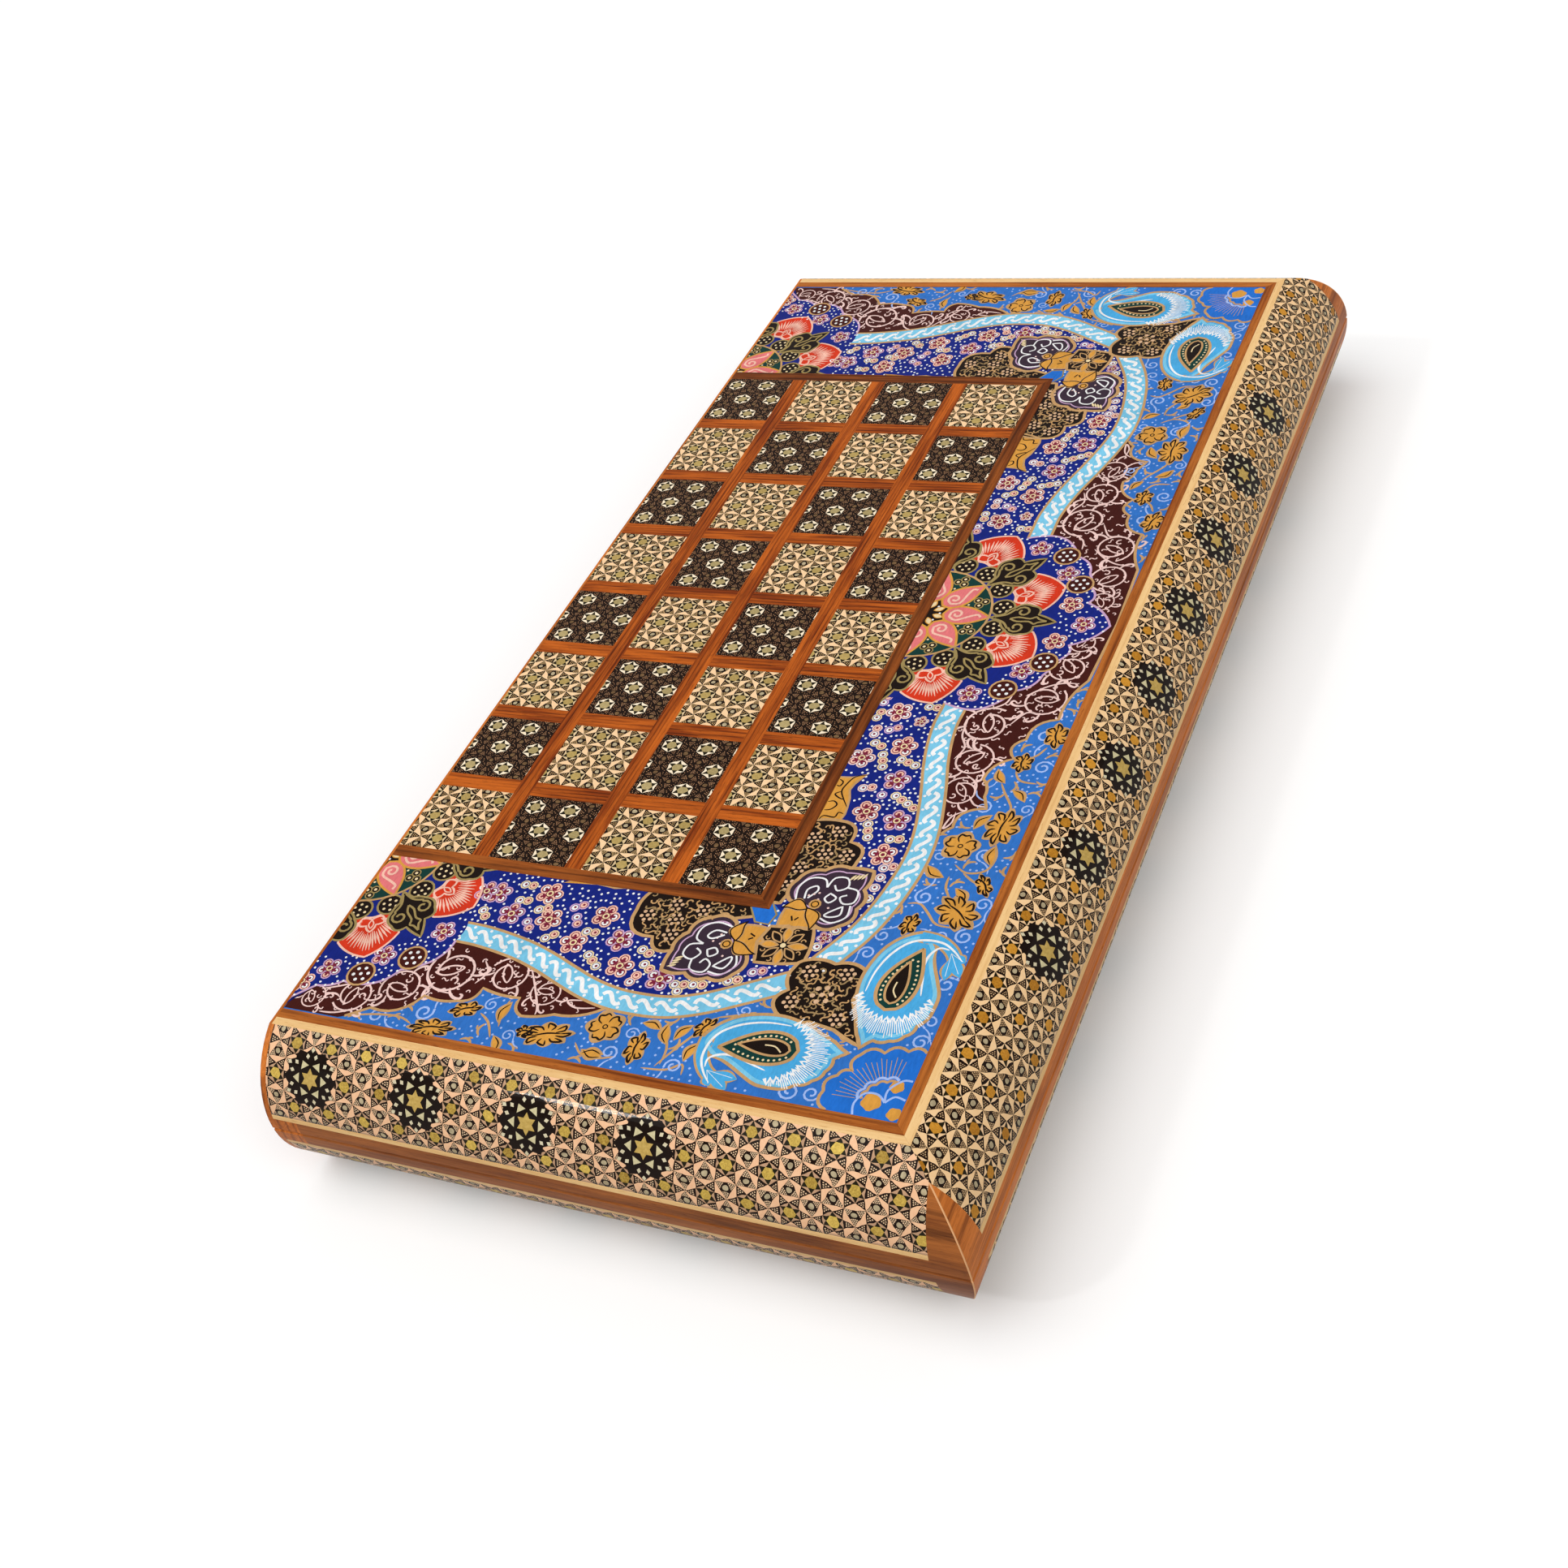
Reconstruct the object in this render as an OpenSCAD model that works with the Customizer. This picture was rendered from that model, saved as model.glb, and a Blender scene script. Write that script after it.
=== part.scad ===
// Folding backgammon board in inlaid and painted wood, shown closed.
// Two trays of the same build are hinged along their straight long side. Their outer faces carry
// half a chess board each, inside a painted border, and the other three sides are rounded over
// and veneered. The origin is at the middle of the underside, +X points from the hinge to the
// opening side, +Y along the hinge and +Z up.

/* [Case] */
// Width of the closed board, from the hinge side to the opening side
board_w = 250; // [208:1:300]
// Length of the board along the hinge
board_l = 504; // [420:1:600]
// Height of one half, from the parting plane to its outer face
half_h = 31; // [26:0.5:38]
// How far the rounded sides stand out past the flat face
edge_run = 20; // [16:0.5:24]
// How far the rounded rails reach in under the flat face, past its edge
rail_reach = 6; // [5:0.5:12]
// Thickness of the straight rail that carries the hinges
hinge_rail_w = 12; // [10:0.5:16]
// Height of bare wood left below the veneer at the parting plane
rim_h = 5.5; // [4:0.5:8]
// Length of bare wood left at each mitred corner, past the cut ends of the veneer
corner_reveal = 12.5; // [8:0.5:16]
// Chamfer on the outer edge of the rim
rim_arris = 0.7; // [0.3:0.1:1.2]
// Gap that each half keeps to the hinge plane, so that the open halves lie back to back
wall_gap = 0.15; // [0.1:0.05:0.4]

/* [Face] */
// Thickness of the panel that closes each tray
panel_t = 4; // [3:0.5:6]
// Width of the ledge that the panel sits on
panel_seat = 3; // [2:0.5:4]
// Thickness of the face work: squares, laths, painted border and lines
face_t = 1; // [0.6:0.1:1.5]
// Bare wood between the hinge plane and the face work
face_margin = 1.2; // [0.8:0.1:3]
// Width of the pale line along the flat face's edge
pale_line_w = 3; // [2:0.1:5]
// Width of the brown line inside the pale one
brown_line_w = 3.8; // [2:0.1:6]
// Thickness of the veneer on the rounded sides
veneer_t = 1; // [0.6:0.1:1.5]
// Bare wood between the hinge plane and the veneer on the rounded ends
veneer_margin = 2.4; // [1.5:0.1:5]
// Height of the pale strip below the veneer
pale_strip_h = 4.5; // [3:0.1:6]
// Radius of the star medallions in the veneer, to their outer points
medallion_r = 10.5; // [7:0.1:12]
// Radius of the star medallions to their inner corners
medallion_in_r = 8.9; // [6:0.1:10.5]
// Distance from one medallion to the next
medallion_pitch = 41.8; // [25:0.1:50]
// Distance from the hinge side to the first medallion on a rounded end
medallion_inset = 20.4; // [15:0.1:40]
// How far the medallions sit below the middle of the band of veneer
medallion_shift = 1.2; // [0:0.1:2]
// Glue line between two mitred strips
glue_line = 0.05; // [0.02:0.01:0.2]

/* [Chess field] */
// Distance from one chess square to the next
pitch = 37.8; // [31:0.1:40]
// Side of one chess square
square = 31; // [24:0.5:32]
// Width of the frame around the chess field
field_frame_w = 5.4; // [4:0.1:8]

/* [Tray] */
// Thickness of the playing board
play_t = 2; // [1.5:0.1:3]
// Depth of the points inlaid in it
point_t = 0.8; // [0.4:0.1:1]
// Plain length between the tips of two facing points
tip_gap = 80; // [40:1:160]
// Width of the plain strip between two points at their base
point_gap = 2; // [1:0.5:5]
// Width of the inlaid band in the rim
rim_inlay_w = 12; // [6:0.5:14]
// Depth of the inlaid band
rim_inlay_t = 1; // [0.6:0.1:1.5]

/* [Hinges] */
// Length of a hinge
hinge_l = 50; // [40:1:70]
// Distance from the end of the board to the middle of a hinge
hinge_inset = 102; // [70:1:140]
// Number of knuckles on a hinge
knuckles = 5; // [3:2:7]
// Radius of a knuckle
knuckle_r = 3; // [2.4:0.1:3.5]
// Radius of the hinge pin
pin_r = 1.25; // [0.9:0.05:1.5]
// Clearance of the pin in the knuckles that turn on it
pin_play = 0.05; // [0.03:0.01:0.08]
// Gap between neighbouring knuckles
knuckle_gap = 0.15; // [0.1:0.05:0.3]
// Clearance of the knuckles in the grooves and at the other leaf
knuckle_room = 0.3; // [0.25:0.05:0.5]
// Thickness of a leaf
leaf_t = 1.5; // [1.2:0.1:2]
// Wood left between a leaf and the tray
leaf_margin = 1.5; // [1:0.1:2.5]
// Distance of the screws from the pin's axis
screw_x = 7; // [6:0.1:8]
// Distance from screw to screw
screw_pitch = 17; // [13:0.5:22]
// Radius of a screw's shank
screw_r = 1.1; // [0.8:0.1:1.4]
// Radius of a screw's head
screw_head_r = 2.2; // [1.8:0.1:2.6]
// Length of a screw
screw_l = 12; // [8:0.5:16]
// Depth of a screw head's top below the leaf's face
screw_sink = 0.1; // [0.05:0.05:0.3]
// Width of a screw's slot
slot_w = 0.6; // [0.4:0.1:0.8]

/* [Magnets] */
// Diameter of a magnet
magnet_d = 8; // [5:0.5:10]
// Thickness of a magnet
magnet_t = 3; // [2:0.5:5]
// Distance from the end of the board to a magnet
magnet_inset = 132; // [60:1:180]

/* [Hidden] */

$fn = 96;
columns = 4;
rows = 8;
points_per_end = 6;
screws_per_leaf = 3;
// How far a cutting shape reaches past the surface that it cuts
past = 1;

hinge_x = -board_w / 2;
front_x = board_w / 2;
end_y = board_l / 2;

// One arc rounds each side: upright at the parting plane, and through the flat face's edge
edge_r = (edge_run * edge_run + half_h * half_h) / (2 * edge_run);
face_x = front_x - edge_run;
face_y = end_y - edge_run;

// Levels inside a half, from the parting plane outwards
work_h = half_h - face_t;
panel_h = work_h - panel_t;
play_h = panel_h - play_t;
point_h = play_h + point_t;
strip_top_h = rim_h + pale_strip_h;

rim_w = edge_run + rail_reach;
tray_x0 = hinge_x + hinge_rail_w;
tray_x1 = front_x - rim_w;
tray_y = end_y - rim_w;
panel_x0 = tray_x0 - panel_seat;
panel_x1 = tray_x1 + panel_seat;
panel_y = tray_y + panel_seat;

// Chess field and the borders round it
work_x0 = hinge_x + face_margin;
line_x = face_x - pale_line_w;
line_y = face_y - pale_line_w;
border_x = line_x - brown_line_w;
border_y = line_y - brown_line_w;
field_y = ((rows - 1) * pitch + square) / 2;
field_x1 = work_x0 + (columns - 1) * pitch + square;
frame_x = field_x1 + field_frame_w;
frame_y = field_y + field_frame_w;

point_pitch = (tray_x1 - tray_x0) / points_per_end;
point_l = tray_y - tip_gap / 2;
knuckle_l = hinge_l / knuckles;
hinge_y = end_y - hinge_inset;
magnet_y = end_y - magnet_inset;
leaf_w = hinge_rail_w - leaf_margin;

// The medallions' height on the arc, as an angle up from the parting plane
band_angle = (asin(strip_top_h / edge_r) + asin(half_h / edge_r)) / 2;
medallion_angle = band_angle - medallion_shift / edge_r * 180 / PI;
medallion_points = 12;
front_medallions = 8;
end_medallions = 4;

// Colours of the real finishes
rail_brown = [0.55, 0.26, 0.11];
lath_brown = [0.66, 0.33, 0.13];
line_brown = [0.50, 0.22, 0.09];
pale_wood = [0.95, 0.80, 0.55];
khatam_light = [0.72, 0.60, 0.42];
khatam_dark = [0.16, 0.11, 0.08];
paint_blue = [0.16, 0.36, 0.74];
plywood = [0.80, 0.66, 0.46];
walnut = [0.34, 0.19, 0.11];
play_wood = [0.74, 0.45, 0.22];
brass = [0.80, 0.64, 0.28];
steel = [0.62, 0.63, 0.66];

// Shapes are drawn in one half's own frame, with the parting plane at height 0 and the face up
module upper() {
    translate([0, 0, half_h]) children();
}

module lower() {
    translate([0, 0, half_h]) mirror([0, 0, 1]) children();
}

// A box from its lowest to its highest corner
module block(low, high) {
    translate(low) cube(high - low);
}

// Space under the arc that rounds the opening side, taken in by an inset
module front_round(inset) {
    translate([front_x - edge_r, end_y + past, 0])
        rotate([90, 0, 0])
            cylinder(r = edge_r - inset, h = board_l + 2 * past);
}

// Space under the arcs that round the two short ends, and the length between them
module end_rounds(inset) {
    for (side = [-1, 1])
        translate([hinge_x - past, side * (end_y - edge_r), 0])
            rotate([0, 90, 0])
                cylinder(r = edge_r - inset, h = board_w + 2 * past);
    block([hinge_x - past, edge_r - end_y, -edge_r], [front_x + past, end_y - edge_r, edge_r]);
}

// Plan of the opening side's pieces, mitred at both corners
module front_plan(height, width) {
    linear_extrude(height)
        polygon([
            [front_x, -end_y], [front_x, end_y],
            [front_x - width, end_y - width], [front_x - width, width - end_y]
        ]);
}

// Plan of a short end's pieces, mitred at the opening side and square at x0
module end_plan(side, x0, height, width) {
    linear_extrude(height)
        polygon([
            [x0, side * end_y], [front_x, side * end_y],
            [front_x - width, side * (end_y - width)], [x0, side * (end_y - width)]
        ]);
}

// Room for the face work and the panel
module face_recess() {
    block([work_x0, -face_y, work_h], [face_x, face_y, half_h + past]);
    block([panel_x0, -panel_y, panel_h], [panel_x1, panel_y, work_h + past]);
}

module front_band(low, high) {
    block([face_x, corner_reveal - end_y, low], [front_x + past, end_y - corner_reveal, high]);
}

module end_band(side, low, high) {
    y_face = side * face_y;
    y_out = side * (end_y + past);
    block([hinge_x + veneer_margin, min(y_face, y_out), low],
        [front_x - corner_reveal, max(y_face, y_out), high]);
}

// Bevel along the rim's outer edge
module front_arris() {
    translate([front_x, end_y + past, 0])
        rotate([90, 0, 0])
            linear_extrude(board_l + 2 * past)
                polygon([[-rim_arris, 0], [0, rim_arris], [past, rim_arris], [past, -past],
                    [-rim_arris, -past]]);
}

module end_arris(side) {
    translate([hinge_x - past, side * end_y, 0])
        rotate([90, 0, 90])
            linear_extrude(board_w + 2 * past)
                polygon([[-side * rim_arris, 0], [0, rim_arris], [side * past, rim_arris],
                    [side * past, -past], [-side * rim_arris, -past]]);
}

// Rails
module hinge_rail() {
    color(rail_brown)
        difference() {
            intersection() {
                block([hinge_x + wall_gap, -end_y, 0], [tray_x0, end_y, half_h]);
                end_rounds(0);
            }
            face_recess();
            for (side = [-1, 1]) {
                difference() {
                    end_band(side, rim_h, half_h + past);
                    end_rounds(veneer_t);
                }
                end_arris(side);
                hinge_at(side) hinge_mortise();
            }
        }
}

module front_rail() {
    color(rail_brown)
        difference() {
            intersection() {
                front_plan(half_h, rim_w);
                front_round(0);
            }
            face_recess();
            difference() {
                front_band(rim_h, half_h + past);
                front_round(veneer_t);
            }
            rim_band(-past, rim_inlay_t, 0);
            front_arris();
            magnet_places() cylinder(d = magnet_d, h = magnet_t + rim_inlay_t);
        }
}

module end_rail(side) {
    color(rail_brown)
        difference() {
            intersection() {
                end_plan(side, tray_x0, half_h, rim_w);
                end_rounds(0);
            }
            face_recess();
            difference() {
                end_band(side, rim_h, half_h + past);
                end_rounds(veneer_t);
            }
            rim_band(-past, rim_inlay_t, 0);
            end_arris(side);
        }
}

// A strip round three sides between two heights, in three pieces that meet in mitres
module strip_frame(x0, x_out, y_out, width, low, high, gap) {
    translate([0, 0, low])
        linear_extrude(high - low)
            polygon([
                [x_out, gap - y_out], [x_out, y_out - gap],
                [x_out - width, y_out - gap - width], [x_out - width, width + gap - y_out]
            ]);
    for (side = [-1, 1])
        translate([0, 0, low])
            linear_extrude(high - low)
                polygon([
                    [x0, side * y_out], [x_out, side * y_out],
                    [x_out - width, side * (y_out - width)], [x0, side * (y_out - width)]
                ]);
}

// Band of inlay in the rim, centred on its width
module rim_band(low, high, gap) {
    inset = (rim_w - rim_inlay_w) / 2;
    strip_frame(tray_x0, front_x - inset, end_y - inset, rim_inlay_w, low, high, gap);
}

module rim_inlay() {
    color(khatam_light) rim_band(0, rim_inlay_t, glue_line);
}

// Magnets under the inlay of the opening side's rim
module magnet_places() {
    for (side = [-1, 1])
        translate([front_x - rim_w / 2, side * magnet_y, 0]) children();
}

module magnets() {
    color(steel)
        magnet_places()
            translate([0, 0, rim_inlay_t]) cylinder(d = magnet_d, h = magnet_t);
}

// Panel and playing board
module face_panel() {
    color(plywood) block([panel_x0, -panel_y, panel_h], [panel_x1, panel_y, work_h]);
}

module point_plan(index, side) {
    base = tray_x0 + index * point_pitch + point_gap / 2;
    tip = tray_x0 + (index + 0.5) * point_pitch;
    polygon([
        [base, side * tray_y], [base + point_pitch - point_gap, side * tray_y],
        [tip, side * (tray_y - point_l)]
    ]);
}

// Points of one colour: they alternate along an end, and face the other colour across the tray
module points(dark, low, high) {
    translate([0, 0, low])
        linear_extrude(high - low)
            for (side = [-1, 1])
                for (index = [0:points_per_end - 1])
                    if ((index + (side > 0 ? 1 : 0) + dark) % 2 == 0)
                        point_plan(index, side);
}

module playing_board() {
    color(play_wood)
        difference() {
            block([tray_x0, -tray_y, play_h], [tray_x1, tray_y, panel_h]);
            for (dark = [0, 1]) points(dark, play_h - past, point_h);
        }
}

module light_points() {
    color(pale_wood) points(0, play_h, point_h);
}

module dark_points() {
    color(walnut) points(1, play_h, point_h);
}

// Veneer and strips on the rounded sides
module front_shell(low, high) {
    intersection() {
        difference() {
            front_round(0);
            front_round(veneer_t);
        }
        front_band(low, high);
        front_plan(half_h + past, edge_run + past);
    }
}

module end_shell(side, low, high) {
    intersection() {
        difference() {
            end_rounds(0);
            end_rounds(veneer_t);
        }
        end_band(side, low, high);
        end_plan(side, hinge_x, half_h + past, edge_run + past);
    }
}

// Outline of a medallion, a flat star
module medallion_star() {
    polygon([
        for (index = [0:2 * medallion_points - 1])
            let (r = index % 2 == 0 ? medallion_r : medallion_in_r)
            let (angle = index * 180 / medallion_points)
            [r * cos(angle), r * sin(angle)]
    ]);
}

// Stands up from the band of veneer, square to it
module medallion_post() {
    rotate([0, -medallion_angle, 0])
        translate([edge_r - veneer_t - past, 0, 0])
            rotate([0, 90, 0])
                linear_extrude(veneer_t + 2 * past) medallion_star();
}

// The medallions run from corner to corner on the opening side. On the ends they start at the
// hinges and leave the stretch at the corner plain
module front_posts() {
    for (index = [0:front_medallions - 1])
        translate([front_x - edge_r, (index - (front_medallions - 1) / 2) * medallion_pitch, 0])
            medallion_post();
}

module end_posts(side) {
    for (index = [0:end_medallions - 1])
        translate([hinge_x + medallion_inset + index * medallion_pitch, side * (end_y - edge_r), 0])
            rotate([0, 0, side * 90]) medallion_post();
}

module medallions() {
    color(khatam_dark) {
        intersection() {
            front_shell(strip_top_h, half_h);
            front_posts();
        }
        for (side = [-1, 1])
            intersection() {
                end_shell(side, strip_top_h, half_h);
                end_posts(side);
            }
    }
}

module khatam_front() {
    color(khatam_light)
        difference() {
            front_shell(strip_top_h, half_h);
            front_posts();
        }
}

module khatam_end(side) {
    color(khatam_light)
        difference() {
            end_shell(side, strip_top_h, half_h);
            end_posts(side);
        }
}

module pale_strips() {
    color(pale_wood) {
        front_shell(rim_h, strip_top_h);
        for (side = [-1, 1]) end_shell(side, rim_h, strip_top_h);
    }
}

// A line round three sides of the face
module face_frame(x_out, y_out, width) {
    strip_frame(work_x0, x_out, y_out, width, work_h, half_h, glue_line);
}

module pale_line() {
    color(pale_wood) face_frame(face_x, face_y, pale_line_w);
}

module brown_line() {
    color(line_brown) face_frame(line_x, line_y, brown_line_w);
}

module painted_border() {
    color(paint_blue)
        difference() {
            block([work_x0, -border_y, work_h], [border_x, border_y, half_h]);
            block([hinge_x, -frame_y, work_h - past], [frame_x, frame_y, half_h + past]);
        }
}

// Chess field
module field_frame() {
    color(lath_brown) face_frame(frame_x, frame_y, field_frame_w);
}

module long_laths() {
    color(lath_brown)
        for (column = [1:columns - 1])
            block([work_x0 + column * pitch - (pitch - square), -field_y, work_h],
                [work_x0 + column * pitch, field_y, half_h]);
}

module cross_laths() {
    color(lath_brown)
        for (column = [0:columns - 1])
            for (row = [1:rows - 1])
                block([work_x0 + column * pitch, row * pitch - field_y - (pitch - square), work_h],
                    [work_x0 + column * pitch + square, row * pitch - field_y, half_h]);
}

module squares(parity) {
    for (column = [0:columns - 1])
        for (row = [0:rows - 1])
            if ((row + column + parity) % 2 == 0)
                block([work_x0 + column * pitch, row * pitch - field_y, work_h],
                    [work_x0 + column * pitch + square, row * pitch - field_y + square, half_h]);
}

module light_squares(parity) {
    color(khatam_light) squares(parity);
}

module dark_squares(parity) {
    color(khatam_dark) squares(parity + 1);
}

// Hinges, drawn with the pin's axis along Y through the origin
module hinge_at(side) {
    translate([hinge_x, side * hinge_y, 0]) children();
}

module along_y(radius, y0, y1) {
    translate([0, y1, 0]) rotate([90, 0, 0]) cylinder(r = radius, h = y1 - y0);
}

module hinge_mortise() {
    block([-past, -hinge_l / 2, -past], [leaf_w, hinge_l / 2, leaf_t]);
    along_y(knuckle_r + knuckle_room, -hinge_l / 2 - knuckle_room, hinge_l / 2 + knuckle_room);
    screw_places() cylinder(r = screw_r, h = screw_l);
}

module screw_places() {
    for (index = [0:screws_per_leaf - 1])
        translate([screw_x, (index - (screws_per_leaf - 1) / 2) * screw_pitch, 0]) children();
}

// The leaf's own knuckles stand on webs. The other leaf's knuckles get room
module hinge_leaf(first, bore_r) {
    difference() {
        union() {
            block([knuckle_r + knuckle_room, -hinge_l / 2, 0], [leaf_w, hinge_l / 2, leaf_t]);
            for (index = [first:2:knuckles - 1]) {
                y0 = -hinge_l / 2 + index * knuckle_l + knuckle_gap / 2;
                y1 = y0 + knuckle_l - knuckle_gap;
                along_y(knuckle_r, y0, y1);
                block([0, y0, 0], [knuckle_r + knuckle_room + past, y1, leaf_t]);
            }
        }
        along_y(bore_r, -hinge_l, hinge_l);
        screw_places() countersink();
    }
}

// The cone under a screw's head, and the space over it
module screw_cone() {
    translate([0, 0, screw_sink])
        cylinder(r1 = screw_head_r, r2 = screw_r, h = screw_head_r - screw_r);
}

module countersink() {
    translate([0, 0, -past]) cylinder(r = screw_head_r, h = past + screw_sink);
    screw_cone();
    cylinder(r = screw_r, h = leaf_t + past);
}

module hinge_leaves(first, bore_r) {
    color(brass)
        for (side = [-1, 1]) hinge_at(side) hinge_leaf(first, bore_r);
}

// Slotted and countersunk, with a tapered tip
module wood_screw() {
    tip_l = 2 * screw_r;
    difference() {
        union() {
            screw_cone();
            translate([0, 0, leaf_t / 2]) cylinder(r = screw_r, h = screw_l - tip_l - leaf_t / 2);
            translate([0, 0, screw_l - tip_l])
                cylinder(r1 = screw_r, r2 = screw_r / 5, h = tip_l);
        }
        block([-slot_w / 2, -screw_head_r - past, -past],
            [slot_w / 2, screw_head_r + past, screw_sink + slot_w]);
    }
}

module hinge_screws() {
    color(brass)
        for (side = [-1, 1]) hinge_at(side) screw_places() wood_screw();
}

module hinge_pins() {
    color(brass)
        for (side = [-1, 1])
            translate([0, 0, half_h])
                hinge_at(side) along_y(pin_r, -hinge_l / 2, hinge_l / 2);
}

lower() hinge_rail();  // lower_hinge_rail
lower() front_rail();  // lower_front_rail
lower() end_rail(-1);  // lower_near_rail
lower() end_rail(1);  // lower_far_rail
lower() face_panel();  // lower_face_panel
lower() playing_board();  // lower_playing_board
lower() light_points();  // lower_light_points
lower() dark_points();  // lower_dark_points
lower() rim_inlay();  // lower_rim_inlay
lower() magnets();  // lower_magnets
lower() khatam_front();  // lower_khatam_front
lower() khatam_end(-1);  // lower_khatam_near
lower() khatam_end(1);  // lower_khatam_far
lower() medallions();  // lower_medallions
lower() pale_strips();  // lower_pale_strips
lower() pale_line();  // lower_pale_line
lower() brown_line();  // lower_brown_line
lower() painted_border();  // lower_painted_border
lower() field_frame();  // lower_field_frame
lower() long_laths();  // lower_long_laths
lower() cross_laths();  // lower_cross_laths
lower() light_squares(1);  // lower_light_squares
lower() dark_squares(1);  // lower_dark_squares
lower() hinge_leaves(0, pin_r);  // lower_hinge_leaves
lower() hinge_screws();  // lower_hinge_screws
hinge_pins();
upper() hinge_rail();  // upper_hinge_rail
upper() front_rail();  // upper_front_rail
upper() end_rail(-1);  // upper_near_rail
upper() end_rail(1);  // upper_far_rail
upper() face_panel();  // upper_face_panel
upper() playing_board();  // upper_playing_board
upper() light_points();  // upper_light_points
upper() dark_points();  // upper_dark_points
upper() rim_inlay();  // upper_rim_inlay
upper() magnets();  // upper_magnets
upper() khatam_front();  // upper_khatam_front
upper() khatam_end(-1);  // upper_khatam_near
upper() khatam_end(1);  // upper_khatam_far
upper() medallions();  // upper_medallions
upper() pale_strips();  // upper_pale_strips
upper() pale_line();  // upper_pale_line
upper() brown_line();  // upper_brown_line
upper() painted_border();  // upper_painted_border
upper() field_frame();  // upper_field_frame
upper() long_laths();  // upper_long_laths
upper() cross_laths();  // upper_cross_laths
upper() light_squares(0);  // upper_light_squares
upper() dark_squares(0);  // upper_dark_squares
upper() hinge_leaves(1, pin_r + pin_play);  // upper_hinge_leaves
upper() hinge_screws();  // upper_hinge_screws
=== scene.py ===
"""Folding backgammon board, closed: inlaid khatam, fruitwood and painted lacquer round the CAD frame."""
import math

import bmesh
import bpy
import numpy as np
from mathutils import Matrix, Vector


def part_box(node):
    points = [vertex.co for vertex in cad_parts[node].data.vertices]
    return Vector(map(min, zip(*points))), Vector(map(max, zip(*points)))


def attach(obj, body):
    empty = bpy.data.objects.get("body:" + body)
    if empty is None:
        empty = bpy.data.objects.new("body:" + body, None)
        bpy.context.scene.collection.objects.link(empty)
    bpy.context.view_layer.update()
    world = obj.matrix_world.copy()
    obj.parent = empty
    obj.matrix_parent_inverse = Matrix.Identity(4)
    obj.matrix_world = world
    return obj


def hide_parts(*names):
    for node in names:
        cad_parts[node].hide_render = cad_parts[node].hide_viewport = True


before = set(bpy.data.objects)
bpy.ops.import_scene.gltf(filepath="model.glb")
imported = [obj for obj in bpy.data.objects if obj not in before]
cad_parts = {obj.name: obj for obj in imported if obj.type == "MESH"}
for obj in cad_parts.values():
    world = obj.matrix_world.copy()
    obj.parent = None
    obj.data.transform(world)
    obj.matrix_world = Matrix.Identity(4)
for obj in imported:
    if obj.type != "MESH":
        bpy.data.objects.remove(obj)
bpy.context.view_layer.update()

# Rails: four lengths of reddish brown hardwood round each tray, rounded over on three sides and
# mitred at the opening side's corners. Sanded and flooded with clear polyester lacquer, so that
# the grain lies under a deep, hard gloss.
MM = 0.001
HALVES = {"lower": "base", "upper": "lid"}    # each half and the body that it rides on
SEAM = 31.0                                   # height of the plane between the halves
FRONT, END = 125.0, 252.0                     # x of the opening side, y of the far end
MITRE = END - FRONT                           # |y| - x all along the opening side's mitres
RIDGE_HIGHLIGHT_WIDTH = 0.7                               # width of the pale line painted along a mitre's ridge as its highlight
FACE_COAT, SIDE_COAT = 0.32, 0.2              # weight of the lacquer on the flat face and the sides


def linear(code):
    """sRGB hex to linear: a straight line below 0.04045, a power of 2.4 above it."""
    parts = [int(code[i:i + 2], 16) / 255 for i in (1, 3, 5)]
    return [v / 12.92 if v <= 0.04045 else ((v + 0.055) / 1.055) ** 2.4 for v in parts] + [1.0]


def feed(node, inputs):
    """Sets or links a node's inputs by name or number. A hex code sets a colour, and a node is
    linked by the first of its outputs that is in use."""
    for key, value in inputs.items():
        if isinstance(value, bpy.types.Node):
            value = next(output for output in value.outputs if output.enabled)
        if isinstance(value, bpy.types.NodeSocket):
            node.id_data.links.new(value, node.inputs[key])
        else:
            node.inputs[key].default_value = linear(value) if isinstance(value, str) else value


def add(tree, kind, inputs=None, **settings):
    """Adds a shader node with its settings, and feeds its inputs."""
    made = tree.nodes.new("ShaderNode" + kind)
    for key, value in settings.items():
        setattr(made, key, value)
    feed(made, inputs or {})
    return made


def finish(name, **inputs):
    """A material, its node tree, and its shader, whose inputs are named with low lines."""
    material = bpy.data.materials.new(name)
    material.use_nodes = True
    shader = material.node_tree.nodes["Principled BSDF"]
    feed(shader, {key.replace("_", " "): value for key, value in inputs.items()})
    return material, material.node_tree, shader


def lacquered(name, coat=FACE_COAT):
    """A finish under clear lacquer, which reflects the room. What lies below hardly does, because
    light bends little on its way from lacquer into wood."""
    return finish(name, Roughness=0.5, IOR=1.1, Coat_Weight=coat, Coat_Roughness=0.04, Coat_IOR=1.36)


def object_mm(tree):
    """Object coordinates in millimetres."""
    place = add(tree, "TexCoord").outputs["Object"]
    return add(tree, "VectorMath", {0: place, "Scale": 1 / MM}, operation="SCALE")


def crossed(tree, place):
    """x and y exchanged."""
    parts = add(tree, "SeparateXYZ", {0: place})
    return add(tree, "CombineXYZ", {"X": parts.outputs[1], "Y": parts.outputs[0], "Z": parts.outputs[2]})


def beyond(tree, parts):
    """|y| - x, which is the same all along a mitre of the opening side."""
    across = add(tree, "Math", {0: parts.outputs[1]}, operation="ABSOLUTE")
    return add(tree, "Math", {0: across, 1: parts.outputs[0]}, operation="SUBTRACT")


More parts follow.
